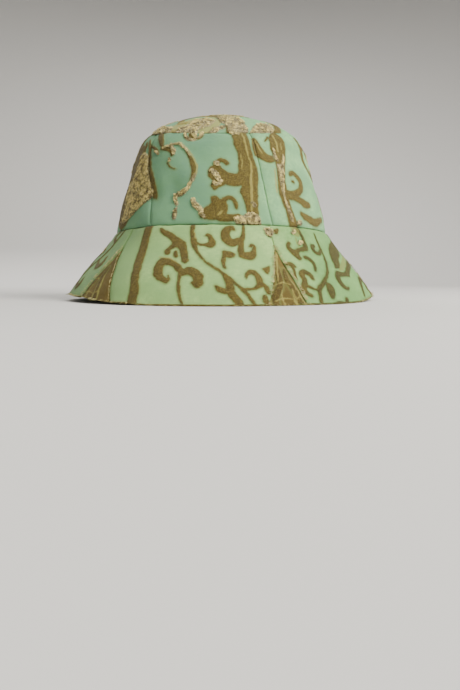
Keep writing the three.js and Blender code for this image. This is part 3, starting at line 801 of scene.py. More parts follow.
class ClothEffects:
    """Node groups that the cloth finishes share."""

    def __init__(self) -> None:
        """Builds the groups once."""
        self.weave = self._weave()
        self.fuzzy_edge = self._fuzzy_edge()
        self.loop_yarn = self._loop_yarn()

    def _new(self, name: str, inputs: dict[str, str], outputs: dict[str, str]) -> bpy.types.NodeTree:
        """Starts a group with its sockets.

        Args:
            name: Name of the group.
            inputs: Socket type by input name.
            outputs: Socket type by output name.

        Returns:
            The empty group.
        """
        group = bpy.data.node_groups.new(name, "ShaderNodeTree")
        for label, kind in inputs.items():
            group.interface.new_socket(label, in_out="INPUT", socket_type=kind)
        for label, kind in outputs.items():
            group.interface.new_socket(label, in_out="OUTPUT", socket_type=kind)
        return group

    def _weave(self) -> bpy.types.NodeTree:
        """Makes the group that gives the height of crossing threads.

        Returns:
            The group, which reads a place in millimetres.
        """
        group = self._new("woven threads", {"Place": "NodeSocketVector"}, {"Height": "NodeSocketFloat"})
        write = NodeWriter(group)
        source = write.add("NodeGroupInput")
        bend = write.noise(source.outputs[0], 0.35, 2.0)
        spread = write.add("ShaderNodeVectorMath", {0: source.outputs[0], 1: bend}, operation="ADD")
        spread = spread.outputs[0]
        warp = write.add(
            "ShaderNodeTexWave",
            {"Vector": spread, "Scale": 0.5, "Distortion": 1.2, "Detail": 1.0, "Detail Scale": 1.4},
            bands_direction="X",
        ).outputs[1]
        weft = write.add(
            "ShaderNodeTexWave",
            {"Vector": spread, "Scale": 0.62, "Distortion": 1.6, "Detail": 1.0, "Detail Scale": 1.2},
            bands_direction="Y",
        ).outputs[1]
        height = write.maths("MAXIMUM", warp, weft)
        sink = write.add("NodeGroupOutput")
        group.links.new(height, sink.inputs[0])
        return group

    def _fuzzy_edge(self) -> bpy.types.NodeTree:
        """Makes the group that turns a distance into a mask with a ragged edge.

        Returns:
            The group, which reads a distance and a place in millimetres.
        """
        sockets = {"Distance": "NodeSocketFloat", "Place": "NodeSocketVector", "Rag": "NodeSocketFloat"}
        group = self._new("ragged edge", sockets, {"Mask": "NodeSocketFloat"})
        write = NodeWriter(group)
        source = write.add("NodeGroupInput")
        coarse = write.maths("SUBTRACT", write.noise(source.outputs[1], 0.9, 3.0, 0.6), 0.5)
        fine = write.maths("SUBTRACT", write.noise(source.outputs[1], 3.2, 2.0, 0.6), 0.5)
        hair = write.maths("SUBTRACT", write.noise(source.outputs[1], 7.5, 1.0, 0.6), 0.5)
        jitter = write.maths("ADD", write.maths("ADD", coarse, fine), hair)
        moved = write.maths("ADD", source.outputs[0], write.maths("MULTIPLY", jitter, source.outputs[2]))
        mask = write.maths("SUBTRACT", 1.0, write.ramp(moved, -0.3, 0.3))
        sink = write.add("NodeGroupOutput")
        group.links.new(mask, sink.inputs[0])
        return group

    def _loop_yarn(self) -> bpy.types.NodeTree:
        """Makes the group that gives tone and height of small looped threads.

        Returns:
            The group, which reads a place in millimetres.
        """
        outputs = {"Tone": "NodeSocketFloat", "Height": "NodeSocketFloat"}
        group = self._new("looped yarn", {"Place": "NodeSocketVector"}, outputs)
        write = NodeWriter(group)
        source = write.add("NodeGroupInput")
        threads = []
        for scale, width in ((0.42, 0.05), (0.66, 0.06), (1.1, 0.07)):
            away = write.maths("SUBTRACT", write.noise(source.outputs[0], scale, 1.0), 0.5)
            away = write.maths("ABSOLUTE", away)
            threads.append(write.maths("SUBTRACT", 1.0, write.ramp(away, 0.0, width)))
        height = write.maths("MAXIMUM", write.maths("MAXIMUM", threads[0], threads[1]), threads[2])
        patchy = write.ramp(write.noise(source.outputs[0], 0.16, 3.0, 0.6), 0.3, 0.7)
        lit = write.maths("MULTIPLY_ADD", patchy, 0.6, third=0.4)
        tone = write.maths("MULTIPLY", height, lit, clamp=True)
        sink = write.add("NodeGroupOutput")
        group.links.new(tone, sink.inputs[0])
        group.links.new(height, sink.inputs[1])
        return group


@dataclass(frozen=True)
class Mottle:
    """Irregular patches in a cloth's colour."""

    scale: float
    detail: float
    rough: float
    low: float
    high: float
    strength: float

    def mask(self, write: NodeWriter, place: bpy.types.NodeSocket) -> bpy.types.NodeSocket:
        """Returns the share by which the patches show at a place in millimetres."""
        patches = write.ramp(write.noise(place, self.scale, self.detail, self.rough), self.low, self.high)
        return write.maths("MULTIPLY", patches, self.strength)


@dataclass(frozen=True)
class BrocadeFinish:
    """Ground cloth with raised velvet, looped yarn and pale threads on it."""

    name: str
    ground: tuple[float, float, float, float]
    ground_shade: tuple[float, float, float, float]
    # The ground towards the cloth's left, darkened as painted shade on the side away from the key light, and
    # the chart places where that painted shade ramps in
    ground_left_painted_shade: tuple[float, float, float, float]
    velvet: tuple[float, float, float, float]
    velvet_shade: tuple[float, float, float, float]
    velvet_dark: tuple[float, float, float, float] = rgb(66, 52, 20)
    loops: tuple[float, float, float, float] = rgb(246, 230, 166)
    loops_shade: tuple[float, float, float, float] = rgb(58, 44, 20)
    pale: tuple[float, float, float, float] = rgb(158, 148, 76)
    halo: tuple[float, float, float, float] = rgb(118, 128, 66)
    thread_shade: tuple[float, float, float, float] = rgb(84, 104, 66)
    left_shade_ends: tuple[float, float] = (-30.0, 34.0)
    # Painted shade towards the cloth's right: the chart places where it ramps in, and the colour it
    # multiplies by
    right_shade_ends: tuple[float, float] = (44.0, 78.0)
    right_painted_shade: tuple[float, float, float, float] = rgb(255, 255, 255)
    rag: float = 1.5
    cloudy: Mottle = Mottle(0.055, 4.0, 0.55, 0.32, 0.68, 0.75)
    fleck: Mottle = Mottle(0.36, 5.0, 0.8, 0.4, 0.62, 0.55)
    slub: Mottle = Mottle(1.0, 3.0, 0.6, 0.45, 0.7, 0.35)
    nap: Mottle = Mottle(0.3, 4.0, 0.7, 0.3, 0.7, 0.8)
    tufts: Mottle = Mottle(0.8, 5.0, 0.85, 0.42, 0.58, 0.62)
    grit: Mottle = Mottle(1.3, 5.0, 0.85, 0.5, 0.64, 0.55)

    def build(self, effects: ClothEffects) -> bpy.types.Material:
        """Makes the material.

        Args:
            effects: The shared node groups.

        Returns:
            A material that reads the yarn attributes of a cloth panel.
        """
        material = bpy.data.materials.new(self.name)
        material.use_nodes = True
        tree = material.node_tree
        tree.nodes.clear()
        write = NodeWriter(tree)
        place = write.add("ShaderNodeTexCoord").outputs["Object"]
        place = write.add("ShaderNodeVectorMath", {0: place, 3: 1000.0}, operation="SCALE").outputs[0]
        flat = write.add("ShaderNodeUVMap", uv_map="cloth").outputs[0]
        flat = write.add("ShaderNodeVectorMath", {0: flat, 3: 1000.0}, operation="SCALE").outputs[0]
        group = write.add("ShaderNodeGroup", node_tree=effects.weave)
        tree.links.new(flat, group.inputs[0])
        weave = group.outputs[0]
        masks = {}
        distances = {}
        for yarn in Yarn:
            distance = write.add("ShaderNodeAttribute", attribute_name=yarn.value).outputs["Fac"]
            edge = write.add("ShaderNodeGroup", node_tree=effects.fuzzy_edge)
            tree.links.new(distance, edge.inputs[0])
            tree.links.new(place, edge.inputs[1])
            edge.inputs[2].default_value = self.rag
            masks[yarn] = edge.outputs[0]
            distances[yarn] = distance
        looped = write.add("ShaderNodeGroup", node_tree=effects.loop_yarn)
        tree.links.new(place, looped.inputs[0])

        # The ground darkens towards the left of the chart: painted shade on the side turned away from the key
        # light
        across = write.add("ShaderNodeSeparateXYZ", {0: flat}).outputs[0]
        drift = write.maths("MULTIPLY", write.maths("SUBTRACT", write.noise(place, 0.04, 2.0), 0.5), 40.0)
        across = write.maths("ADD", across, drift)
        share = write.ramp(across, *self.left_shade_ends)
        ground = write.blend(share, self.ground_left_painted_shade, self.ground)
        ground = write.blend(self.cloudy.mask(write, place), ground, self.ground_shade)
        ground = write.blend(self.fleck.mask(write, place), ground, self.ground_shade)
        drawn_out = write.add("ShaderNodeVectorMath", {0: flat, 1: (0.1, 1.1, 1.0)}, operation="MULTIPLY")
        ground = write.blend(self.slub.mask(write, drawn_out.outputs[0]), ground, self.ground_shade)
        dull = write.maths("MULTIPLY", write.maths("SUBTRACT", 1.0, weave), 0.3)
        ground = write.blend(dull, ground, self.thread_shade)
        near = write.maths("SUBTRACT", 1.0, write.ramp(distances[Yarn.VELVET], 0.0, 2.4))
        ground = write.blend(write.maths("MULTIPLY", near, 0.5), ground, self.halo)

        velvet = write.blend(self.nap.mask(write, place), self.velvet, self.velvet_shade)
        velvet = write.blend(self.tufts.mask(write, place), velvet, self.velvet_dark)
        velvet = write.blend(self.grit.mask(write, place), velvet, self.pale)
        yarn_tone = write.blend(looped.outputs[0], self.loops_shade, self.loops)

        colour = write.blend(masks[Yarn.VELVET], ground, velvet)
        colour = write.blend(write.maths("MULTIPLY", masks[Yarn.PALE], 0.75), colour, self.pale)
        colour = write.blend(masks[Yarn.LOOPS], colour, yarn_tone)
        # Colour is multiplied darker towards the right of the chart: painted shade on the right of the brim
        colour = write.blend(write.ramp(across, *self.right_shade_ends), colour, self.right_painted_shade, "MULTIPLY")

        pile = write.maths("MULTIPLY", write.noise(place, 2.2, 4.0, 0.7), masks[Yarn.VELVET])
        knots = write.maths("MULTIPLY", looped.outputs[1], masks[Yarn.LOOPS])
        height = write.maths("ADD", write.maths("MULTIPLY", weave, 0.25), write.maths("MULTIPLY", pile, 0.9))
        height = write.maths("ADD", height, write.maths("MULTIPLY", knots, 1.3))
        bump = write.add("ShaderNodeBump", {"Strength": 0.8, "Distance": 0.0009, "Height": height}).outputs[0]

        shader = write.add("ShaderNodeBsdfPrincipled", {"Base Color": colour, "Normal": bump})
        rough = write.maths("SUBTRACT", 0.86, write.maths("MULTIPLY", masks[Yarn.LOOPS], 0.28))
        tree.links.new(rough, shader.inputs["Roughness"])
        shader.inputs["Sheen Weight"].default_value = 0.05
        shader.inputs["Sheen Roughness"].default_value = 0.5
        shader.inputs["Specular IOR Level"].default_value = 0.25
        sink = write.add("ShaderNodeOutputMaterial")
        tree.links.new(shader.outputs[0], sink.inputs[0])
        return material


@dataclass(frozen=True)
class ThreadFinish:
    """Single loose threads."""

    name: str
    light: tuple[float, float, float, float]
    dark: tuple[float, float, float, float]
    rough: float = 0.6
    gloss: float = 0.5

    def build(self) -> bpy.types.Material:
        """Makes the material.

        Returns:
            A material with the twist and the two tones of the thread.
        """
        material = bpy.data.materials.new(self.name)
        material.use_nodes = True
        write = NodeWriter(material.node_tree)
        shader = material.node_tree.nodes["Principled BSDF"]
        place = write.add("ShaderNodeTexCoord").outputs["Object"]
        patchy = write.ramp(write.noise(place, 260.0, 3.0, 0.6), 0.4, 0.66)
        material.node_tree.links.new(write.blend(patchy, self.light, self.dark), shader.inputs["Base Color"])
        twist = write.noise(place, 2400.0, 1.0)
        bump = write.add("ShaderNodeBump", {"Strength": 0.3, "Distance": 0.0002, "Height": twist}).outputs[0]
        material.node_tree.links.new(bump, shader.inputs["Normal"])
        shader.inputs["Roughness"].default_value = self.rough
        shader.inputs["Specular IOR Level"].default_value = self.gloss
        return material


# Cloth panels


def finish_cloth(
    mesh: bmesh.types.BMesh,
    name: str,
    x: Array,
    y: Array,
    marks: dict[Yarn, Array],
    material: bpy.types.Material,
    nodes: tuple[str, ...],
    thickness: float,
    flat: tuple[float, float],
) -> bpy.types.Object:
    """Turns a shaped sheet into a piece of the hat.

    Args:
        mesh: The shaped sheet, which is used up.
        name: Name of the piece.
        x: Places across the chart, in millimetres, one for each vertex.
        y: Places up the chart.
        marks: Distances to the motifs of each yarn.
        material: The cloth's finish.
        nodes: The solids it replaces.
        thickness: Thickness of the cloth, in millimetres.
        flat: Width and length of the cut, in millimetres.

    Returns:
        The new piece.
    """
    sheet = mesh.loops.layers.uv.new("cloth")
    for face in mesh.faces:
        face.smooth = True
        for corner in face.loops:
            index = corner.vert.index
            corner[sheet].uv = (x[index] * MM, y[index] * MM)
    data = bpy.data.meshes.new(name)
    mesh.to_mesh(data)
    mesh.free()
    for yarn, distance in marks.items():
        layer = data.attributes.new(yarn.value, "FLOAT", "POINT")
        layer.data.foreach_set("value", distance.astype(np.float32))
    data.materials.append(material)
    piece = bpy.data.objects.new(name, data)
    bpy.context.scene.collection.objects.link(piece)
    cloth = piece.modifiers.new("cloth thickness", "SOLIDIFY")
    cloth.thickness = thickness * MM
    cloth.offset = -1.0
    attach(piece, BODY)
    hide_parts(*nodes)
    LOG.info("built %s, cut %.0f x %.0f mm, with %d faces", name, flat[0], flat[1], len(data.polygons))
    return piece


def cut_size(across: Array, down: Array) -> tuple[tuple[float, float], float]:
    """Size of the cut of a panel, from its shape before the pile is raised.

    Args:
        across: Widths of the panel at even steps from one end to the other, in millimetres.
        down: Lengths of its middle line between those steps.

    Returns:
        The greatest width and the length, and the area.
    """
    length = float(down.sum())
    area = float(((across[:-1] + across[1:]) / 2 * down).sum())
    return (float(across.max()), length), area


@dataclass
class ClothPanel:
    """One sewn panel of cloth, laid on a face of the hat."""

    name: str
    nodes: tuple[str, ...]
    slot: str
    form: HatForm
    surface: Surface
    rising: bool
    span: tuple[float, float]
    left: Callable[[Array], Array]
    right: Callable[[Array], Array]
    chart: Chart
    chart_place: Callable[[Array, Array], tuple[Array, Array]]
    width: float
    height: float
    cell: float = 1.0
    depth: float = 0.0
    thickness: float = 1.4
    relief: float = 1.0
    turned_edges: tuple[float, float, float, float] = (0.9, 0.9, 0.9, 0.9)
    floor_gap: float = 0.05
    level_from: float = 0.86
    loop_margin: float = 0.25
    loop_lift: float = 0.5
    tight_turn: float = 1.1
    slow_turn: float = 4.5
    pucker_height: float = 0.4
    pucker_reach: float = 6.0

    def build(self, material: bpy.types.Material) -> bpy.types.Object:
        """Makes the panel's mesh and dresses it.

        Args:
            material: The cloth's finish.

        Returns:
            The new piece, which replaces its solids.
        """
        columns = max(6, round(self.width / self.cell))
        rows = max(6, round(self.height / self.cell))
        mesh = bmesh.new()
        bmesh.ops.create_grid(mesh, x_segments=columns, y_segments=rows, size=0.5)
        places = np.array([vertex.co[:] for vertex in mesh.verts])
        u = places[:, 0] + 0.5
        v = places[:, 1] + 0.5
        t = self.span[0] + (self.span[1] - self.span[0]) * (v if self.rising else 1 - v)
        left = self.left(t)
        right = self.right(t)
        angle = left * (1 - u) + right * u
        outer = self.surface(angle, t)
        normal = self.form.normals(self.surface, angle, t, self.rising)
        level = normal * np.array([1.0, 1.0, 0.0])
        level = level / np.maximum(np.linalg.norm(level, axis=1, keepdims=True), 1e-9)
        if not self.rising:
            share = smooth_step(self.level_from, 1.0, t)[:, None]
            normal = normal * (1 - share) + level * share
            normal = normal / np.linalg.norm(normal, axis=1, keepdims=True)
        x, y = self.chart_place(angle, t)
        marks = {yarn: self.chart.distance(yarn, x, y) for yarn in Yarn}
        ring = np.hypot(outer[:, 0], outer[:, 1])
        lift = self.relief * self.raise_yarn(marks, x, y)
        breadth = (right - left) * ring
        lift = lift - self.turn_in(u, v, breadth) + self.pucker(u, v, x, y, breadth)
        moved = outer + normal * (lift - self.depth)[:, None]
        moved[:, 2] = np.maximum(moved[:, 2], self.thickness + self.floor_gap)
        for vertex, place in zip(mesh.verts, moved):
            vertex.co = Vector(place) * MM
        flat, area = self.cut()
        return finish_cloth(
            mesh, self.name, x, y, marks, material, self.nodes, self.thickness, flat
        )

    def cut(self) -> tuple[tuple[float, float], float]:
        """Measures the cloth that the panel is cut from.

        Returns:
            The width and length of the cut, and its area, in millimetres.
        """
        t = np.linspace(self.span[0], self.span[1], 25)[:, None]
        u = np.linspace(0.0, 1.0, 25)[None, :]
        angle = self.left(t) * (1 - u) + self.right(t) * u
        points = self.surface(angle, np.broadcast_to(t, angle.shape))
        across = np.linalg.norm(np.diff(points, axis=1), axis=2).sum(1)
        down = np.linalg.norm(np.diff(points[:, 12], axis=0), axis=1)
        return cut_size(across, down)

    def loop_roots(self, count: int, seed: int) -> tuple[Array, Array]:
        """Picks places for loose loops of yarn.

        Args:
            count: Number of places tried over the panel.
            seed: Seed of the choice.

        Returns:
            Points on the looped yarn, in millimetres, and the normals there.
        """
        rng = np.random.default_rng(seed)
        u = rng.uniform(0.0, 1.0, count)
        v = rng.uniform(0.0, 1.0, count)
        t = self.span[0] + (self.span[1] - self.span[0]) * (v if self.rising else 1 - v)
        angle = self.left(t) * (1 - u) + self.right(t) * u
        x, y = self.chart_place(angle, t)
        kept = self.chart.distance(Yarn.LOOPS, x, y) < -self.loop_margin
        angle, t = angle[kept], t[kept]
        normal = self.form.normals(self.surface, angle, t, self.rising)
        return self.surface(angle, t) + normal * self.loop_lift, normal

    def raise_yarn(self, marks: dict[Yarn, Array], x: Array, y: Array) -> Array:
        """Height of the pile over the ground cloth.

        Args:
            marks: Distances to the motifs of each yarn.
            x: Places across the chart, in millimetres.
            y: Places up the chart.

        Returns:
            Heights in millimetres.
        """
        velvet = 1 - smooth_step(-0.9, 0.5, marks[Yarn.VELVET])
        loops = 1 - smooth_step(-0.8, 0.6, marks[Yarn.LOOPS])
        pale = 1 - smooth_step(-0.4, 0.4, marks[Yarn.PALE])
        nap = 0.5 + 0.1 * value_noise(x / 1.7, y / 1.7, 21)
        knots = 0.55 + 0.55 * value_noise(x / 1.15, y / 1.15, 22)
        slub = 0.07 * value_noise(x / 2.3, y / 1.2, 23)
        return velvet * nap * (1 - loops) + loops * knots + 0.2 * pale + slub

    def turn_in(self, u: Array, v: Array, width: Array) -> Array:
        """Depth by which the cloth turns in at its seams.

        Args:
            u: Share across the panel.
            v: Share up the panel.
            width: Width of the panel at each place, in millimetres.

        Returns:
            Depths in millimetres.
        """
        left, right, low, high = self.turned_edges
        gaps = (u * width, (1 - u) * width, v * self.height, (1 - v) * self.height)
        total = np.zeros_like(u)
        for gap, depth in zip(gaps, (left, right, low, high)):
            turned = depth * np.exp(-gap / self.tight_turn)
            turned = turned + 0.35 * (depth > 0) * np.exp(-gap / self.slow_turn)
            total = np.maximum(total, turned)
        return total

    def pucker(self, u: Array, v: Array, x: Array, y: Array, width: Array) -> Array:
        """Small waves beside the seams.

        Args:
            u: Share across the panel.
            v: Share up the panel.
            x: Places across the chart, in millimetres.
            y: Places up the chart.
            width: Width of the panel at each place, in millimetres.

        Returns:
            Heights in millimetres.
        """
        sides = np.exp(-np.minimum(u, 1 - u) * width / self.pucker_reach)
        sides = sides * value_noise(y / 5.5, x / 40.0, 31)
        ends = np.exp(-np.minimum(v, 1 - v) * self.height / self.pucker_reach)
        ends = ends * value_noise(x / 6.5, y / 40.0, 32)
        return self.pucker_height * (sides + ends)


@dataclass
class Crown:
    """Six wall panels and the tip."""

    form: HatForm
    seams: Points = ((-33, -54), (25, 20), (85, 78), (146, 142), (206, 206), (267, 258))
    names: tuple[str, ...] = ("front", "front_right", "back_right", "back", "back_left", "front_left")
    placings: tuple[Placing, ...] = (
        Placing(), Placing(), Placing(-178), Placing(-249), Placing(-383), Placing(-565.5),
    )
    wall_length: float = 93.0
    tip_thickness: float = 1.4
    seen: tuple[int, ...] = (0, 1, 5)
    chart_radius: float = 90.0
    chart_height: float = 90.0

    def seam(self, index: int) -> Callable[[Array], Array]:
        """Angle of a seam of the wall.

        Args:
            index: Number of the seam, counted past the last one for a full turn.

        Returns:
            The angle in radians as a function of the share up the wall.
        """
        turn, row = divmod(index, len(self.seams))
        low, high = self.seams[row]
        return lambda t: np.radians(low * (1 - t) + high * t + 360.0 * turn)

    def wall_panels(self) -> list[ClothPanel]:
        """Lays out the wall panels.

        Returns:
            The panels, from the front round to the right.
        """
        panels = []
        for i, name in enumerate(self.names):
            placing = self.placings[i]

            def place(angle: Array, t: Array, placing: Placing = placing) -> tuple[Array, Array]:
                """Places of the panel on the crown's chart."""
                return placing.apply(angle * self.chart_radius, t * self.chart_height)

            panel = ClothPanel(
                name=f"crown_cloth_{name}",
                nodes=(f"crown_panel_{name}",),
                slot="crown_cloth",
                form=self.form,
                surface=self.form.wall,
                rising=True,
                span=(0.0, 1.0),
                left=self.seam(i),
                right=self.seam(i + 1),
                chart=CROWN_CHART,
                chart_place=place,
                width=96.0,
                height=self.wall_length,
                turned_edges=(0.8, 0.8, 1.0, 0.1),
                cell=1.0 if i in self.seen else 1.3,
            )
            panels.append(panel)
        return panels

    def build_tip(self, material: bpy.types.Material) -> bpy.types.Object:
        """Makes the tip.

        Args:
            material: The tip's cloth.

        Returns:
            The new piece, which replaces its solid.
        """
        mesh = bmesh.new()
        bmesh.ops.create_grid(mesh, x_segments=132, y_segments=132, size=1.0)
        places = np.array([vertex.co[:] for vertex in mesh.verts])
        # A square sheet is drawn in to a round one
        across, up = places[:, 0], places[:, 1]
        round_x = across * np.sqrt(1 - up * up / 2)
        round_y = up * np.sqrt(1 - across * across / 2)
        r = np.clip(np.hypot(round_x, round_y), 1e-4, 1.0)
        angle = np.arctan2(round_x, -round_y)
        outer = self.form.tip(angle, r)
        normal = self.form.normals(self.form.tip, angle, r, False)
        normal = np.where(r[:, None] < 0.02, np.array([0.0, 0.0, 1.0]), normal)
        x, y = outer[:, 0], outer[:, 1]
        marks = {yarn: TIP_CHART.distance(yarn, x, y) for yarn in Yarn}
        gap = (1 - r) * 70.0
        velvet = 1 - smooth_step(-0.9, 0.5, marks[Yarn.VELVET])
        loops = 1 - smooth_step(-0.8, 0.6, marks[Yarn.LOOPS])
        lift = velvet * 0.5 * (1 - loops) + loops * (0.55 + 0.55 * value_noise(x / 1.15, y / 1.15, 42))
        lift = lift - 0.12 * np.exp(-gap / 1.1) - 0.2 * np.exp(-gap / 4.5)
        lift = lift + 0.5 * np.exp(-gap / 7.0) * value_noise(angle * 12.0, r * 2.0, 43)
        moved = outer + normal * lift[:, None]
        for vertex, place in zip(mesh.verts, moved):
            vertex.co = Vector(place) * MM
        flat, area = self.tip_cut()
        return finish_cloth(
            mesh, "crown_cloth_tip", x, y, marks, material, ("crown_tip",),
            self.tip_thickness, flat,
        )

    def tip_cut(self) -> tuple[tuple[float, float], float]:
        """Measures the cloth that the tip is cut from.

        Returns:
            The width and length of the oval cut, and its area, in millimetres.
        """
        spans = []
        for angle in (math.pi / 2, 0.0):
            r = np.linspace(0.0, 1.0, 40)
            half = self.form.tip(np.full_like(r, angle), r)
            spans.append(2 * float(np.linalg.norm(np.diff(half, axis=0), axis=1).sum()))
        return (spans[0], spans[1]), math.pi / 4 * spans[0] * spans[1]

    def tip_loop_roots(self, count: int, seed: int) -> tuple[Array, Array]:
        """Picks places for loose loops of yarn on the tip.

        Args:
            count: Number of places tried over the tip.
            seed: Seed of the choice.

        Returns:
            Points on the looped yarn, in millimetres, and the normals there.
        """
        rng = np.random.default_rng(seed)
        r = np.sqrt(rng.uniform(0.001, 0.98, count))
        angle = rng.uniform(-math.pi, math.pi, count)
        place = self.form.tip(angle, r)
        kept = TIP_CHART.distance(Yarn.LOOPS, place[:, 0], place[:, 1]) < -0.25
        normal = self.form.normals(self.form.tip, angle[kept], r[kept], False)
        return place[kept] + normal * 0.5, normal


@dataclass
class Brim:
    """Six brim panels, the six godets let in between them and the facing below."""

    form: HatForm
    crown: Crown
    godet_top: float = 0.29
    godets: tuple[tuple[str, float, float, float], ...] = (
        ("front_left", -47, -54, -36.5),
        ("front_right", 23, 14.8, 27.9),
        ("right", 84, 77, 91),
        ("back_right", 145, 138, 152),
        ("back_left", 205, 198, 212),
        ("left", 262, 255, 269),
    )
    facing_seams: tuple[float, ...] = (-10, 50, 110, 170, 230, 290)
    placings: tuple[Placing, ...] = (
        Placing(), Placing(), Placing(-206), Placing(-340), Placing(-450), Placing(-741),
    )
    chart_radius: float = 118.0
    chart_height: float = 72.0

    def edge(self, index: int, side: Side) -> Callable[[Array], Array]:
        """Angle of a brim panel's edge beside a godet.

        Args:
            index: Number of the godet, counted past the last one for a full turn.
            side: Which edge of the godet.

        Returns:
            The angle in radians as a function of the share down the brim.
        """
        turn, row = divmod(index, len(self.godets))
        _, apex, left, right = self.godets[row]
        foot = left if side is Side.LEFT else right

        def angle(t: Array) -> Array:
            """Angle at a share down the brim."""
            share = np.clip((t - self.godet_top) / (1 - self.godet_top), 0, 1)
            return np.radians(apex * (1 - share) + foot * share + 360.0 * turn)

        return angle

    def chart_place(self, placing: Placing) -> Callable[[Array, Array], tuple[Array, Array]]:
        """Returns the function from the brim to its chart for one panel."""
        return lambda angle, t: placing.apply(angle * self.chart_radius, (1 - t) * self.chart_height)

    def facing_place(self, angle: Array, t: Array) -> tuple[Array, Array]:
        """Returns the places of the facing on the crown's chart, which repeats round the brim."""
        across = (angle * self.chart_radius + 60.0) % 190.0 - 110.0
        return across, (1 - t) * self.chart_height + 8.0

    def panels(self) -> list[ClothPanel]:
        """Lays out the brim panels.

        Returns:
            The panels, from the front round to the right.
        """
        panels = []
        for i, name in enumerate(self.crown.names):
            panel = ClothPanel(
                name=f"brim_cloth_{name}",
                nodes=(f"brim_panel_{name}",),
                slot="brim_cloth",
                form=self.form,
                surface=self.form.brim,
                rising=False,
                span=(0.0, 1.0),
                left=self.edge(i, Side.RIGHT),
                right=self.edge(i + 1, Side.LEFT),
                chart=BRIM_CHART,
                chart_place=self.chart_place(self.placings[i]),
                width=122.0,
                height=72.0,
                cell=1.0 if i in self.crown.seen else 1.3,
                turned_edges=(0.8, 0.8, 0.0, 0.9),
            )
            panels.append(panel)
        return panels

    def godet_panels(self) -> list[ClothPanel]:
        """Lays out the godets, which lie just under the panels' edges.

        Returns:
            The godets, in the order of their table.
        """
        panels = []
        for i, (name, apex, *_) in enumerate(self.godets):
            godet = ClothPanel(
                name=f"godet_cloth_{name}",
                nodes=(f"brim_godet_{name}",),
                slot="godet_cloth",
                form=self.form,
                surface=self.form.brim,
                rising=False,
                span=(self.godet_top + 0.01, 1.0),
                left=self.edge(i, Side.LEFT),
                right=self.edge(i, Side.RIGHT),
                chart=GODET_CHART,
                chart_place=lambda angle, t, apex=apex: (
                    (angle - math.radians(apex)) * self.chart_radius,
                    (1 - t) * self.chart_height,
                ),
                width=34.0,
                height=52.0,
                depth=0.15,
                turned_edges=(0.7, 0.7, 0.0, 0.0),
            )
            panels.append(godet)
        return panels

    def facing_panels(self) -> list[ClothPanel]:
        """Lays out the facing on the underside.

        Returns:
            Its pieces, from the front round to the right.
        """
        panels = []
        for i, start in enumerate(self.facing_seams):
            stop = self.facing_seams[(i + 1) % len(self.facing_seams)]
            stop = stop + 360 if stop < start else stop
            facing = ClothPanel(
                name=FACING_NODES[i].replace("brim_facing", "facing_cloth"),
                nodes=(FACING_NODES[i],),
                slot="facing_cloth",
                form=self.form,
                surface=self.form.brim,
                rising=False,
                span=(0.012, 0.98),
                left=lambda t, at=start: np.full_like(t, math.radians(at)),
                right=lambda t, at=stop: np.full_like(t, math.radians(at)),
                chart=CROWN_CHART,
                chart_place=self.facing_place,
                width=124.0,
                height=70.0,
                cell=1.9,
                relief=0.6,
                depth=2.1,
                thickness=1.0,
                turned_edges=(0.0, 0.0, 0.0, 0.0),
            )
            panels.append(facing)
        return panels


# Loose threads


@dataclass
class Threads:
    """A set of loose threads in one piece."""

    name: str
    slot: str
    thickness: float = 0.12
    bent: bool = True
    lines: list[Array] = field(default_factory=list)

    def add(self, points: Array) -> None:
        """Adds one thread through points in millimetres."""
        self.lines.append(points)

    def build(self, material: bpy.types.Material) -> bpy.types.Object:
        """Makes the threads as bevelled curves.

        Args:
            material: The threads' finish.

        Returns:
            The new piece.
        """
        data = bpy.data.curves.new(self.name, "CURVE")
        data.dimensions = "3D"
        data.bevel_depth = self.thickness * MM
        data.bevel_resolution = 0
        data.resolution_u = 2
        data.render_resolution_u = 2
        for line in self.lines:
            spline = data.splines.new("NURBS" if self.bent else "POLY")
            spline.points.add(len(line) - 1)
            if self.bent:
                spline.use_endpoint_u = True
                spline.order_u = 3
            for point, place in zip(spline.points, line):
                point.co = (place[0] * MM, place[1] * MM, place[2] * MM, 1.0)
                point.radius = 1.0
        data.materials.append(material)
        piece = bpy.data.objects.new(self.name, data)
        bpy.context.scene.collection.objects.link(piece)
        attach(piece, BODY)
        LOG.info("built %s with %d threads", self.name, len(self.lines))
        return piece


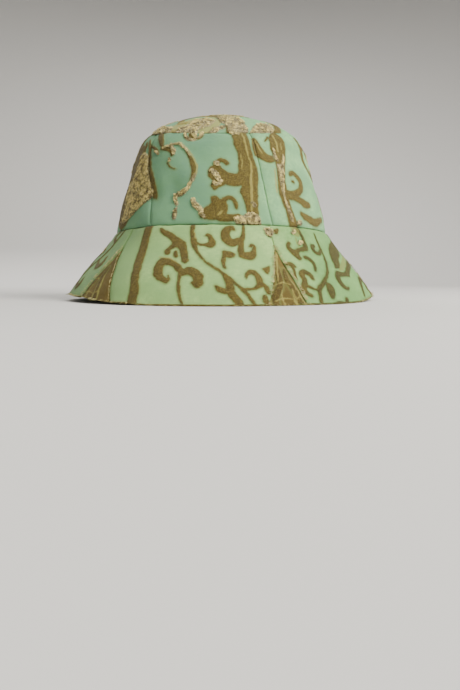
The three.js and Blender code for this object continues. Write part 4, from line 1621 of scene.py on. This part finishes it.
@dataclass
class LooseYarn:
    """Frayed hem, frayed godet edges and the loops of the boucle yarn."""

    form: HatForm
    seed: int = 7
    hem_threads: int = 520
    hem_thickness: float = 0.11
    hem_rise: float = 0.4
    godet_threads: int = 90
    godet_thickness: float = 0.14
    loop_thickness: float = 0.17
    root_rise: float = 0.5
    loop_tries: int = 6000

    def hem(self, material: bpy.types.Material) -> bpy.types.Object:
        """Makes the frayed threads of the hem.

        Args:
            material: The threads' finish.

        Returns:
            The piece.
        """
        rng = np.random.default_rng(self.seed)
        threads = Threads("hem_threads", "brim_cloth", self.hem_thickness)
        for angle in rng.uniform(-math.pi, math.pi, self.hem_threads):
            root = self.form.brim(np.array([angle]), np.array([0.985]))[0]
            edge = self.form.brim(np.array([angle]), np.array([1.0]))[0]
            out = np.array([math.sin(angle), -math.cos(angle), 0.0])
            side = np.array([math.cos(angle), math.sin(angle), 0.0])
            reach = rng.uniform(0.6, 2.2) + (rng.uniform(0, 3.4) if rng.uniform() > 0.9 else 0)
            lean = rng.uniform(-1.2, 1.2) * reach
            height = max(edge[2] + rng.uniform(-0.9, 0.7), self.hem_rise)
            middle = edge + out * reach * 0.5 + side * lean * 0.35
            middle[2] = max(edge[2] + rng.uniform(-0.3, 0.5), self.hem_rise)
            tip = edge + out * reach + side * lean
            tip[2] = height
            root[2] = max(root[2], self.root_rise)
            threads.add(np.array([root, middle, tip]))
        return threads.build(material)

    def godet_edges(self, brim: Brim, material: bpy.types.Material) -> bpy.types.Object:
        """Makes the frayed threads along the godets' edges.

        Args:
            brim: The brim, for the lines of its godets.
            material: The threads' finish.

        Returns:
            The piece.
        """
        rng = np.random.default_rng(self.seed + 1)
        threads = Threads("godet_threads", "godet_cloth", self.godet_thickness)
        for i in range(len(brim.godets)):
            for side in Side:
                edge = brim.edge(i, side)
                for t in rng.uniform(brim.godet_top - 0.02, 0.99, self.godet_threads):
                    at = float(edge(np.array([t]))[0])
                    drift = side.value * rng.uniform(0.004, 0.022)
                    angles = np.array([at - drift * 0.3, at + drift * 0.4, at + drift])
                    downs = np.array([t, t + rng.uniform(-0.01, 0.01), t + rng.uniform(-0.025, 0.025)])
                    downs = np.clip(downs, 0.0, 0.995)
                    normal = self.form.normals(self.form.brim, angles, downs, False)
                    rise = np.array([0.1, rng.uniform(0.5, 0.9), rng.uniform(0.4, 1.1)])
                    line = self.form.brim(angles, downs) + normal * rise[:, None]
                    line[:, 2] = np.maximum(line[:, 2], self.root_rise)
                    threads.add(line)
        return threads.build(material)

    def loops(
        self,
        name: str,
        slot: str,
        roots: list[tuple[Array, Array]],
        material: bpy.types.Material,
    ) -> bpy.types.Object:
        """Makes loops of yarn at given places.

        Args:
            name: Name of the piece.
            slot: Not used.
            roots: Points and normals of the looped areas, one pair for each panel.
            material: The yarn's finish.

        Returns:
            The piece.
        """
        threads = Threads(name, slot, self.loop_thickness, bent=False)
        rng = np.random.default_rng(self.seed + 50)
        for places, normals in roots:
            for root, normal in zip(places, normals):
                across = np.cross(normal, rng.normal(size=3))
                across = across / np.linalg.norm(across)
                along = np.cross(normal, across)
                radius = rng.uniform(0.4, 1.0)
                turns = np.linspace(0, rng.uniform(0.9, 1.6) * 2 * math.pi, 8)
                rise = 0.2 + 0.5 * np.abs(np.sin(turns * 0.5 + rng.uniform(0, 3)))
                flatten = rng.uniform(0.4, 1.0)
                ring = np.outer(np.cos(turns), across) + np.outer(np.sin(turns) * flatten, along)
                threads.add(root + ring * radius + np.outer(rise, normal))
        return threads.build(material)


# Studio


@dataclass(frozen=True)
class SoftLight:
    """A square soft light: where it stands, its side and power, and the point it faces."""

    name: str
    place: tuple[float, float, float]
    size: float
    power: float
    target: tuple[float, float, float] = (0.0, 0.0, 0.08)
    colour: tuple[float, float, float] = (1.0, 1.0, 1.0)


@dataclass
class Studio:
    """Pale floor, soft lights and the camera."""

    lights: tuple[SoftLight, ...] = (
        SoftLight("key_light", (0.84, -0.6, 0.74), 0.5, 25.0, colour=(1.0, 0.99, 0.96)),
        SoftLight("top_light", (0.35, -0.25, 1.15), 0.8, 11.0),
        SoftLight("fill_light", (-0.9, -0.7, 0.4), 0.9, 1.0, colour=(0.94, 0.97, 1.0)),
        SoftLight("back_light", (-0.7, 1.0, 0.8), 0.8, 8.0),
        SoftLight("backdrop_light", (0.0, 0.9, 1.5), 1.4, 26.0, target=(0.0, 2.4, 0.6)),
    )
    room_colour: tuple[float, float, float, float] = (0.8, 0.81, 0.82, 1.0)
    room_strength: float = 0.3
    floor_colour: tuple[float, float, float, float] = rgb(205, 202, 196)
    floor_flat: float = 1.1
    floor_reach: float = 3.6
    floor_cells: int = 108
    floor_bend: float = 0.55
    camera_place: tuple[float, float, float] = (0.008, -0.44, 0.018)
    camera_pitch: float = 3.5
    camera_lens: float = 24.0
    camera_shift: float = -0.135

    def build_floor(self) -> bpy.types.Object:
        """Makes the floor, a wide sheet of paper that curves up all round.

        Returns:
            The floor.
        """
        mesh = bmesh.new()
        cells = self.floor_cells
        bmesh.ops.create_grid(mesh, x_segments=cells, y_segments=cells, size=self.floor_reach)
        for vertex in mesh.verts:
            past = max(0.0, vertex.co.xy.length - self.floor_flat)
            vertex.co.z = past * past * self.floor_bend
        for face in mesh.faces:
            face.smooth = True
        data = bpy.data.meshes.new("studio_floor")
        mesh.to_mesh(data)
        mesh.free()
        material = bpy.data.materials.new("studio paper")
        material.use_nodes = True
        shader = material.node_tree.nodes["Principled BSDF"]
        shader.inputs["Base Color"].default_value = self.floor_colour
        shader.inputs["Roughness"].default_value = 0.95
        shader.inputs["Specular IOR Level"].default_value = 0.1
        data.materials.append(material)
        floor = bpy.data.objects.new("studio_floor", data)
        bpy.context.scene.collection.objects.link(floor)
        return floor

    def add_light(self, soft: SoftLight) -> bpy.types.Object:
        """Adds one soft light.

        Args:
            soft: The light's place, size and power.

        Returns:
            The light, which the camera doesn't see.
        """
        data = bpy.data.lights.new(soft.name, "AREA")
        data.shape = "SQUARE"
        data.size = soft.size
        data.energy = soft.power
        data.color = soft.colour
        light = bpy.data.objects.new(soft.name, data)
        light.location = soft.place
        light.visible_camera = False
        aim = Vector(soft.target) - Vector(soft.place)
        light.rotation_euler = aim.to_track_quat("-Z", "Y").to_euler()
        bpy.context.scene.collection.objects.link(light)
        return light

    def build_lights(self) -> None:
        """Sets the soft lights and the even light of the room."""
        for soft in self.lights:
            self.add_light(soft)
        world = bpy.data.worlds.new("studio room")
        bpy.context.scene.world = world
        world.use_nodes = True
        background = world.node_tree.nodes["Background"]
        background.inputs[0].default_value = self.room_colour
        background.inputs[1].default_value = self.room_strength

    def build_camera(self) -> bpy.types.Object:
        """Makes the camera, low over the floor in front of the hat.

        Returns:
            The camera, which is made the scene's own.
        """
        data = bpy.data.cameras.new("photo_camera")
        data.lens = self.camera_lens
        data.sensor_fit = "VERTICAL"
        data.sensor_height = 36.0
        data.sensor_width = 24.0
        data.shift_y = self.camera_shift
        data.clip_start = 0.01
        camera = bpy.data.objects.new("photo_camera", data)
        camera.location = self.camera_place
        camera.rotation_euler = (math.radians(90 + self.camera_pitch), 0.0, 0.0)
        bpy.context.scene.collection.objects.link(camera)
        bpy.context.scene.camera = camera
        return camera


def main() -> None:
    """Builds the dressed hat, its floor, lights and camera."""
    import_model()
    form = HatForm()
    effects = ClothEffects()
    crown_cloth = BrocadeFinish(
        "crown brocade",
        ground=rgb(147, 197, 133),
        ground_shade=rgb(112, 160, 114),
        # Left ground colour: painted shade on the crown's side away from the key light
        ground_left_painted_shade=rgb(106, 152, 118),
        velvet=rgb(110, 96, 38),
        velvet_shade=rgb(76, 64, 22),
        left_shade_ends=(-20.0, 40.0),
    ).build(effects)
    brim_cloth = BrocadeFinish(
        "brim brocade",
        ground=rgb(168, 204, 124),
        ground_shade=rgb(138, 178, 106),
        # Left ground colour: painted shade on the brim's side away from the key light
        ground_left_painted_shade=rgb(121, 152, 104),
        velvet=rgb(108, 94, 36),
        velvet_shade=rgb(72, 62, 22),
        left_shade_ends=(-98.0, -44.0),
        # Painted shade darkening the brim's right side
        right_painted_shade=rgb(202, 220, 210),
    ).build(effects)
    godet_cloth = BrocadeFinish(
        "godet velvet",
        ground=rgb(118, 100, 44),
        ground_shade=rgb(88, 74, 30),
        ground_left_painted_shade=rgb(118, 100, 44),
        velvet=rgb(96, 80, 30),
        velvet_shade=rgb(70, 56, 20),
        thread_shade=rgb(70, 56, 22),
    ).build(effects)
    facing_cloth = BrocadeFinish(
        "facing brocade",
        ground=rgb(112, 150, 112),
        ground_shade=rgb(88, 122, 92),
        # Left ground colour: painted shade on the facing's side away from the key light
        ground_left_painted_shade=rgb(100, 138, 104),
        velvet=rgb(104, 90, 34),
        velvet_shade=rgb(70, 58, 20),
    ).build(effects)
    pale_thread = ThreadFinish("pale thread", rgb(200, 188, 124), rgb(134, 134, 76)).build()
    loop_thread = ThreadFinish("loop yarn", rgb(242, 222, 134), rgb(92, 74, 30), 0.4, 0.8).build()

    crown = Crown(form)
    wall_panels = crown.wall_panels()
    for panel in wall_panels:
        panel.build(crown_cloth)
    crown.build_tip(crown_cloth)
    brim = Brim(form, crown)
    brim_panels = brim.panels()
    for panel in brim_panels:
        panel.build(brim_cloth)
    for panel in brim.godet_panels():
        panel.build(godet_cloth)
    for panel in brim.facing_panels():
        panel.build(facing_cloth)

    yarn = LooseYarn(form)
    yarn.hem(pale_thread)
    yarn.godet_edges(brim, pale_thread)
    wall_roots = []
    for number, panel in enumerate(wall_panels):
        tries = yarn.loop_tries if number in crown.seen else yarn.loop_tries // 2
        wall_roots.append(panel.loop_roots(tries, number))
    brim_roots = [panel.loop_roots(yarn.loop_tries, 60 + number) for number, panel in enumerate(brim_panels)]
    yarn.loops("crown_wall_loops", "crown_cloth", wall_roots, loop_thread)
    yarn.loops("crown_tip_loops", "crown_cloth", [crown.tip_loop_roots(yarn.loop_tries, 30)], loop_thread)
    yarn.loops("brim_loops", "brim_cloth", brim_roots, loop_thread)

    studio = Studio()
    studio.build_floor()
    studio.build_lights()
    studio.build_camera()


if __name__ == "__main__":
    logging.basicConfig(level=logging.INFO, format="%(message)s")
    main()
